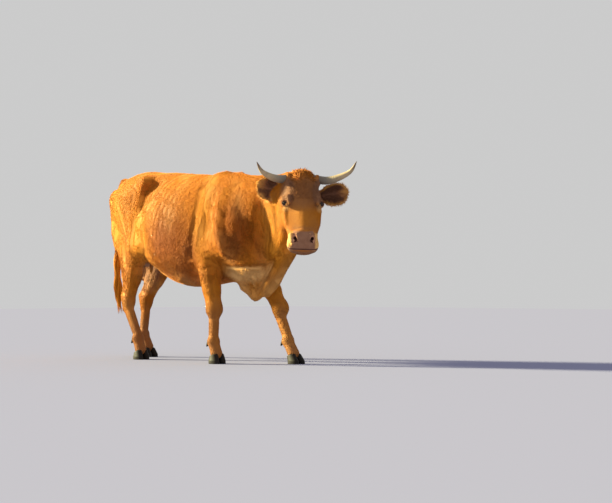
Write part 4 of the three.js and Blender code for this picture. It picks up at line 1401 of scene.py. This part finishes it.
# Horns: sideways from the poll, then forward and up, with growth rings near the base
horn = {"base": 28.6, "tip": 1.2, "length": 420, "ringHeight": 0.7, "ringSpacing": 8.5,
        1: {"reach": 264, "bend": (6, 56), "end": 126}, -1: {"reach": 227, "bend": (4, 38), "end": 98}}
hornColour = {
    "base": (0.11, 0.075, 0.05, 1), "grey": (0.19, 0.16, 0.125, 1), "cream": (0.46, 0.34, 0.20, 1),
    "tip": (0.11, 0.05, 0.025, 1), "dirt": (0.12, 0.09, 0.065, 1),
}


def hornPath(side):
    reach, bend, end = (horn[side][key] for key in ("reach", "bend", "end"))
    start = onHead((34, side * 92, -50))
    steps = [(-44, -8, 0), (0, 0, 0), (62, 26, -6), (124, 62, bend[0]),
             (reach * 0.84, 106, bend[1]), (reach, 136, end)]
    return [start + faceLeft * side * across + faceOut * out + np.array((0, 0, up))
            for across, out, up in steps]


def hornRadius(u, angle):
    ring = math.sin(u * horn["length"] / horn["ringSpacing"] * 2 * math.pi / 2.2 + 0.5 * math.sin(2 * angle))
    ripple = horn["ringHeight"] * ring * (1 - smooth(0.3, 0.6, u)) * smooth(0.02, 0.1, u)
    ridge = 0.35 * math.sin(5 * angle + 9 * u) * (1 - u)
    return horn["base"] * max(0.0, 1 - u**2.2) ** 0.8 + horn["tip"] - 0.8 + ripple + ridge


def makeHornMaterial():
    material, tree, surface = newMaterial("greyHorn")
    along, place = tree.mark("along"), tree.place()
    streak = tree.noise(place, 45.0, 4.0)
    colour = tree.ramp((along + 0.22 * streak - 0.11).clamped(), [
        (0.1, hornColour["base"]), (0.32, hornColour["grey"]), (0.6, hornColour["cream"]),
        (0.78, hornColour["cream"]), (0.95, hornColour["tip"]),
    ])
    colour = tree.mixed(colour, hornColour["dirt"], (streak * 1.6 - 0.75).clamped())
    bump = tree.bump(tree.noise(place, 320.0, 3.0), 0.35, 0.001)
    setSurface(tree, surface, {"Base Color": colour, "Roughness": 0.3 + 0.35 * streak,
                               "Specular IOR Level": 0.5, "Normal": bump})
    return material


hornMaterial = makeHornMaterial()
for side in (-1, 1):
    name = "right" if side < 0 else "left"
    thing = sleeve("hornShell_" + name, curveThrough(hornPath(side), 110), hornRadius, 40, hornMaterial)
    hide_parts("horn_" + name)
    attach(thing, "root")
report("horns are made")


# Claws and dewclaws
claw = {"cleft": 3.4, "rings": 26, "around": 44}
clawColour = {"dark": (0.006, 0.004, 0.003, 1), "light": (0.026, 0.016, 0.010, 1)}


def ringMesh(name, rings, material):
    points = [p for ring in rings for p in ring] + [np.mean(rings[0], 0), np.mean(rings[-1], 0)]
    return outward(meshOf(name, placed(points), tubeFaces(len(rings), len(rings[0])), material))


def makeClaw(name, leg, side, material):
    toe, coronet = leg["toe"], mix(leg["fetlock"], leg["toe"], 0.55)
    cx, cy = toe[0] - 22, toe[1]
    turns = np.arange(claw["around"]) * 2 * math.pi / claw["around"]
    ahead, out = np.cos(turns), np.sin(turns)
    # sole, wall a little up, and the coronet under the hair: x, y and z round each
    sole = np.array((cx + 4 + 52 * ahead, 29 + 26 * out * (1 - 0.16 * ahead), 0 * ahead))
    wall = np.array((cx + 1 + 50 * ahead, 30 + 27 * out, 22 + 0 * ahead))
    crown = np.array((coronet[0] + 34 * ahead, 27 + 24 * out, 66 + 10 * ahead))
    rings = []
    for i in range(claw["rings"] + 1):
        t = i / claw["rings"]
        ring = sole + (wall - sole) * t * 3 if t < 1 / 3 else wall + (crown - wall) * (t * 1.5 - 0.5)
        centre = ring.mean(1)[:, None]
        size = 1 - 0.05 * math.exp(-t * 26) - 0.35 * max(0, t - 0.93) / 0.07
        size = size - 0.007 * (1 + math.sin(t * 58)) * smooth(0.05, 0.15, t)
        ring = centre + (ring - centre) * np.array((size, size, 1))[:, None]
        y = np.maximum(ring[1], claw["cleft"] + 0.2)
        rings.append(np.stack((ring[0], cy + side * y, ring[2]), 1))
    inner = rings[0] + (rings[0].mean(0) - rings[0]) * 0.25
    inner[:, 2] = 0
    return ringMesh(name, [inner] + rings, material)


def makeDewclaw(name, leg, side, material):
    start, end = plus(leg["fetlock"], (-30, side * 20, -4)), plus(leg["fetlock"], (-47, side * 24, -36))
    path = curveThrough([start, mix(start, end, 0.5), end], 16)

    def radiusAt(u, angle):
        return 12.4 * (1 - 0.42 * u) * math.sqrt(max(0.02, 1 - u**5)) + 0.25 * math.sin(u * 40)

    return sleeve(name, path, radiusAt, 24, material)


def makeClawMaterial():
    material, tree, surface = newMaterial("clawHorn")
    place = tree.place()
    stretched = tree.value("ShaderNodeMapping", None, {"Vector": place, "Scale": (60, 60, 340)}, "Vector")
    layers, blotch = tree.noise(stretched, 1.0, 3.0), tree.noise(place, 30.0, 3.0)
    pale = (layers * 0.9 + blotch * 0.8 - 0.6).clamped()
    colour = tree.mixed(clawColour["dark"], clawColour["light"], pale)
    setSurface(tree, surface, {"Base Color": colour, "Roughness": 0.45 + 0.3 * blotch,
                               "Specular IOR Level": 0.2, "Normal": tree.bump(layers, 0.5, 0.001)})
    return material


clawMaterial = makeClawMaterial()
for end, legs in (("fore", foreLegs), ("hind", hindLegs)):
    for leg in legs:
        legSide = "right" if leg["side"] < 0 else "left"
        for side in (-1, 1):
            which = f"{legSide}_{'outer' if side * leg['side'] > 0 else 'inner'}"
            for kind, make in (("claw", makeClaw), ("dewclaw", makeDewclaw)):
                thing = make(f"{end}{kind}Horn_{which}", leg, side, clawMaterial)
                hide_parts(f"{end}{kind}_{which}")
                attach(thing, "root")
report("claws are made")


# Coat of tufts: one is a low curved wedge of hair, repeated over the skin by the node tree.
# onFace is the face tufts' share of the size, and patch how large each tuft's own unwrap is.
tuft = {"width": 0.0034, "height": 0.0008, "lift": 3.2, "lean": 6, "spacing": 0.0056, "faceSpacing": 0.0044,
        "onFace": 0.62, "crowd": 2.2, "patch": 0.003}


def makeTuft():
    middleUp, tipUp = 0.75, 0.1
    points, shares = [], []
    for x, wide, up in ((-0.06, 0.42, -0.5), (0.45, 0.5, middleUp)):
        points += [(x, -wide, up - 0.35), (x, 0, up + 0.55), (x, wide, up - 0.35)]
        shares += [max(x, 0)] * 3
    points.append((1, 0, tipUp))
    shares.append(1)
    faces = [(2, 1, 0)]
    for j in range(3):
        k = (j + 1) % 3
        faces += [(j, k, k + 3), (j, k + 3, j + 3), (j + 3, k + 3, 6)]
    thing = outward(meshOf("tuftShape", points, faces))
    storeValues(thing.data, "tip", np.array(shares))
    layer = thing.data.uv_layers.new(name="OFBake")
    for loop in thing.data.loops:
        x, y, z = thing.data.vertices[loop.vertex_index].co
        layer.data[loop.index].uv = (min(1, max(0, x)), 0.5 + 0.8 * y + 0.1 * z)
    return thing


def tuftTree(name):
    group = bpy.data.node_groups.new(name, "GeometryNodeTree")
    tree = Tree(group)
    group.interface.new_socket("Skin", in_out="INPUT", socket_type="NodeSocketGeometry")
    kinds = {"Tuft": "Object", "Material": "Material", "Region": "Int", "Spacing": "Float", "Width": "Float",
             "Height": "Float", "Lift": "Float", "Lean": "Float", "Seed": "Int"}
    ids = {}
    for label, kind in kinds.items():
        made = group.interface.new_socket(label, in_out="INPUT", socket_type="NodeSocket" + kind)
        ids[label] = made.identifier
    group.interface.new_socket("Coat", in_out="OUTPUT", socket_type="NodeSocketGeometry")
    inputs = tree.node("NodeGroupInput").outputs

    def given(label):
        return Value(tree, inputs[label])

    def stored(attribute, kind="FLOAT"):
        settings = {"data_type": kind}
        return tree.value("GeometryNodeInputNamedAttribute", settings, {"Name": attribute}, "Attribute")

    def vector(x, y, z):
        return tree.value("ShaderNodeCombineXYZ", None, {"X": x, "Y": y, "Z": z}, "Vector")

    def vectorMaths(operation, a, b):
        return tree.value("ShaderNodeVectorMath", {"operation": operation}, {0: a, 1: b})

    def store(geometry, attribute, value, kind="FLOAT", domain="POINT"):
        settings = {"data_type": kind, "domain": domain}
        sockets = {"Geometry": geometry, "Name": attribute, "Value": value}
        return tree.value("GeometryNodeStoreNamedAttribute", settings, sockets, "Geometry")

    def without(geometry, attribute):
        sockets = {"Geometry": geometry, "Name": attribute}
        return tree.value("GeometryNodeRemoveAttribute", None, sockets, "Geometry")

    def chance(low, high, seed):
        made = tree.node("FunctionNodeRandomValue", {"data_type": "FLOAT"}, {2: low, 3: high})
        linked(tree, made.inputs["Seed"], given("Seed") + seed)
        return Value(tree, made.outputs[1])

    # points where a tuft grows
    here = tree.value("FunctionNodeCompare", {"data_type": "FLOAT", "operation": "EQUAL"},
                      {0: stored("region"), 1: given("Region"), "Epsilon": 0.5}, "Result")
    most = tree.value("ShaderNodeMath", {"operation": "DIVIDE"},
                      {0: tuft["crowd"], 1: given("Spacing") ** 2.0})
    scatter = tree.node("GeometryNodeDistributePointsOnFaces", {"distribute_method": "POISSON"},
                        {"Mesh": given("Skin"), "Selection": here, "Distance Min": given("Spacing"),
                         "Density Max": most, "Density Factor": stored("cover"), "Seed": given("Seed")})
    points = store(scatter.outputs["Points"], "rootPlace", stored("OFBake", "FLOAT_VECTOR"), "FLOAT_VECTOR")
    points = store(points, "tone", chance(0.0, 1.0, 1.0))
    for attribute in ("OFBake", "tip"):
        points = without(points, attribute)
    # each tuft lies along the coat, a little lifted and turned
    facing = tree.value("FunctionNodeAxesToRotation", {"primary_axis": "Z", "secondary_axis": "X"},
                        {0: scatter.outputs["Normal"], 1: stored("lie", "FLOAT_VECTOR")}, "Rotation")
    lift = given("Lift") * chance(-1.6, -0.4, 2.0)
    lean = given("Lean") * chance(-1.0, 1.0, 3.0)
    turns = tree.value("FunctionNodeEulerToRotation", None, {0: vector(chance(-0.2, 0.2, 4.0), lift, lean)})
    leaned = tree.value("FunctionNodeRotateRotation", {"rotation_space": "LOCAL"}, {0: facing, 1: turns},
                        "Rotation")
    long = stored("nap") * chance(0.7, 1.3, 5.0)
    wide = given("Width") * chance(0.7, 1.3, 6.0)
    size = vector(long, wide, given("Height"))
    shape = tree.value("GeometryNodeObjectInfo", None, {"Object": given("Tuft")}, "Geometry")
    tufts = tree.value("GeometryNodeInstanceOnPoints", None,
                       {"Points": points, "Instance": shape, "Rotation": leaned, "Scale": size}, "Instances")
    coatOf = tree.value("GeometryNodeRealizeInstances", None, {"Geometry": tufts}, "Geometry")
    # each tuft's own unwrap, shrunk to a patch about its root
    own = vectorMaths("SUBTRACT", stored("OFBake", "FLOAT_VECTOR"), (0.5, 0.5, 0))
    patch = tree.value("ShaderNodeVectorMath", {"operation": "SCALE"}, {0: own, "Scale": tuft["patch"]})
    place = vectorMaths("ADD", patch, stored("rootPlace", "FLOAT_VECTOR"))
    coatOf = without(store(coatOf, "OFBake", place, "FLOAT2", "CORNER"), "rootPlace")
    sockets = {"Geometry": coatOf, "Material": given("Material")}
    coatOf = tree.value("GeometryNodeSetMaterial", None, sockets, "Geometry")
    tree.node("NodeGroupOutput", None, {"Coat": coatOf})
    return group, ids


tuftShape = makeTuft()
tuftNodes, tuftInputs = tuftTree("tufts")


# scatters tufts over one region of the skin and keeps the result as a plain mesh
def growCoat(name, region, seed, spacing, width, height, lift, lean):
    thing = bpy.data.objects.new(name, skinPiece.data)
    bpy.context.scene.collection.objects.link(thing)
    grown = thing.modifiers.new("tufts", "NODES")
    grown.node_group = tuftNodes
    values = {"Tuft": tuftShape, "Material": coatHair, "Region": region, "Seed": seed, "Spacing": spacing,
              "Width": width, "Height": height, "Lift": math.radians(lift), "Lean": math.radians(lean)}
    for label, value in values.items():
        grown[tuftInputs[label]] = value
    finished(thing)
    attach(thing, "root")
    report(f"{thing.name} has {len(thing.data.polygons)} faces")


for number, region in enumerate(regions):
    fine = region == "head"
    share = tuft["onFace"] if fine else 1
    growCoat("coat_" + region, number, 11 + number, tuft["faceSpacing"] if fine else tuft["spacing"],
             tuft["width"] * share, tuft["height"] * share, tuft["lift"], tuft["lean"])


# Longer hair: the mop on the poll, and the fringe and lining of the ears.
# tufts holds the spacing, width, height, lift and lean.
longHair = {
    "poll": {"region": 30, "long": 0.026, "tufts": (0.0046, 0.0040, 0.0022, 17, 30)},
    "brow": {"region": 31, "long": 0.016, "tufts": (0.0056, 0.0034, 0.0018, 13, 24)},
    "earFringe": {"region": 32, "long": 0.022, "tufts": (0.0036, 0.0024, 0.0016, 8, 22)},
    "earLining": {"region": 33, "long": 0.030, "tufts": (0.0052, 0.0022, 0.0014, 24, 22)},
}


def markLongHair(thing):
    mesh = thing.data
    p = fleshPoints(mesh)
    normal = normalsOf(mesh)
    x, y, z = headFrame(p)
    face = 1 - smooth(8, 40, headFlesh(p))
    top = face * smooth(96, 30, x) * smooth(84, 60, np.abs(y)) * smooth(-150, -90, z)
    brow = face * smooth(40, 70, x) * smooth(235, 170, x) * smooth(96, 70, np.abs(y)) * (z > -80)
    whole, inside, rim = earMasks(p)
    shag = headTurn.astype(np.float32) @ np.array((x - 70, y * 0.8, 30 + 0 * x))
    shag = unit(shag, 1e-3) + 0.5 * np.array([waves(p, 34, 60 + k) for k in range(3)])
    lie = shag.astype(np.float32)
    for side in (-1, 1):
        along, sideways, opening = earAxes(side)
        u, across, _ = onEar(p, side)
        edge = np.outer(along, np.clip(u, 0, 1)) + np.outer(sideways, np.sign(across))
        here = (whole > 0.3) & (np.sign(y) == side)
        lie[:, here] = edge[:, here] + 0.35 * opening[:, None]
    lie = unit(lie - normal * (lie * normal).sum(0))
    # the first that holds at a point is the one that grows there
    where = {"earFringe": rim * whole > 0.35, "earLining": inside > 0.5,
             "poll": top > 0.35, "brow": brow > 0.4}
    region = np.select(list(where.values()), [longHair[name]["region"] for name in where], 0)
    length = np.select(list(where.values()), [longHair[name]["long"] for name in where], 0.01)
    for name, value in {"nap": length, "region": region, "cover": np.ones_like(x)}.items():
        storeValues(mesh, name, value)
    storeValues(mesh, "lie", lie, "FLOAT_VECTOR")


markLongHair(skinPiece)
for name, kind in longHair.items():
    growCoat("coat_" + name, kind["region"], kind["region"], *kind["tufts"])


# Tail switch: long locks hanging from the end of the tail
switch = {"points": 400, "start": 0.6, "locks": 396, "bundles": 11, "wide": 4.4, "sides": 4, "steps": 12}


def switchRadius(u):
    return 17 + 15 * math.sin(math.pi * min(1, u * 1.25) * 0.8) - 44 * max(0, u - 0.72)


def makeSwitch():
    path = curveThrough(tailPath, switch["points"])
    path = path[int(switch["points"] * switch["start"]) - 6:]
    last = len(path) - 1
    chance = np.random.default_rng(5)
    points, faces, tips, tones = [], [], [], []
    sides, steps = switch["sides"], switch["steps"]
    for number in range(switch["locks"]):
        # each lock keeps to one of a few wavy bundles
        bundle = number % switch["bundles"]
        turn = 2 * math.pi * (bundle * 0.618 % 1)
        depth = 0.25 + 0.75 * (bundle / switch["bundles"]) ** 0.5
        begin = chance.uniform(0, 0.55) ** 1.2
        end = min(1.0, begin + chance.uniform(0.3, 0.6))
        off = chance.normal(0, 3.2, 2)
        phase = chance.uniform(0, 0.9) + 2.4 * bundle
        curl = chance.uniform(3, 6)
        base = len(points)
        for i in range(steps):
            t = i / (steps - 1)
            u = begin + (end - begin) * t
            at = path[int(round(u * last))]
            reach = switchRadius(u) * depth * 0.8
            a = turn + 0.5 * math.sin(2.4 * u + bundle)
            centre = at + reach * np.array((math.cos(a), math.sin(a), 0)) + (*(off * (0.5 + t)), 0)
            centre = centre + curl * np.array((math.sin(15 * u + phase), math.cos(12 * u + phase), 0))
            wide = switch["wide"] * (0.5 + 0.6 * math.sin(math.pi * (0.15 + 0.75 * t))) * (1 - t**3) + 0.4
            for j in range(sides):
                b = 2 * math.pi * j / sides + a
                points.append(centre + wide * np.array((math.cos(b) * 0.6, math.sin(b), 0)))
                tips.append(t)
                tones.append(depth)
        for i in range(steps - 1):
            for j in range(sides):
                p, q = base + i * sides + j, base + i * sides + (j + 1) % sides
                faces += [(p, p + sides, q + sides), (p, q + sides, q)]
        top = base + (steps - 1) * sides
        faces += [(base, base + 1, base + 2), (base, base + 2, base + 3)]
        faces += [(top, top + 2, top + 1), (top, top + 3, top + 2)]
    thing = meshOf("switchLocks", placed(points), faces, coatHair)
    storeValues(thing.data, "tip", np.array(tips))
    # outer locks painted lighter and more golden, inner ones darker, as painted light and shade through the
    # switch
    storeValues(thing.data, "tone", 0.4 + 0.6 * np.array(tones))
    storeValues(thing.data, "bright", np.array(tones))
    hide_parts("tail_switch")
    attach(thing, "root")


makeSwitch()
report("tail switch is made")
bpy.data.objects.remove(tuftShape)


# Floor and light
light = {"sunFrom": (-0.88, -0.47, 0.33), "sun": 16.5, "sunColour": (1, 0.93, 0.52), "sunSize": 6,
         "sky": (1, 1, 1, 1), "skyStrength": 0.6, "floor": (0.262, 0.268, 0.41, 1)}


def makeFloor():
    material, tree, surface = newMaterial("paleFloor")
    setSurface(tree, surface, {"Base Color": light["floor"], "Roughness": 0.9, "Specular IOR Level": 0.0})
    corners = [(-30, -30, 0), (30, -30, 0), (30, 30, 0), (-30, 30, 0)]
    floor = meshOf("floor", corners, [(0, 1, 2), (0, 2, 3)], material)


def makeLight():
    world = bpy.data.worlds.new("sky")
    bpy.context.scene.world = world
    world.use_nodes = True
    sky = world.node_tree.nodes["Background"]
    sky.inputs["Color"].default_value = light["sky"]
    sky.inputs["Strength"].default_value = light["skyStrength"]
    sun = bpy.data.objects.new("sun", bpy.data.lights.new("sun", "SUN"))
    sun.data.energy = light["sun"]
    sun.data.color = light["sunColour"]
    sun.data.angle = math.radians(light["sunSize"])
    sun.rotation_euler = Vector(light["sunFrom"]).to_track_quat("Z", "Y").to_euler()
    bpy.context.scene.collection.objects.link(sun)
    bpy.context.scene.view_settings.view_transform = "Standard"


makeFloor()
makeLight()
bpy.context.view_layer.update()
report("scene is ready")
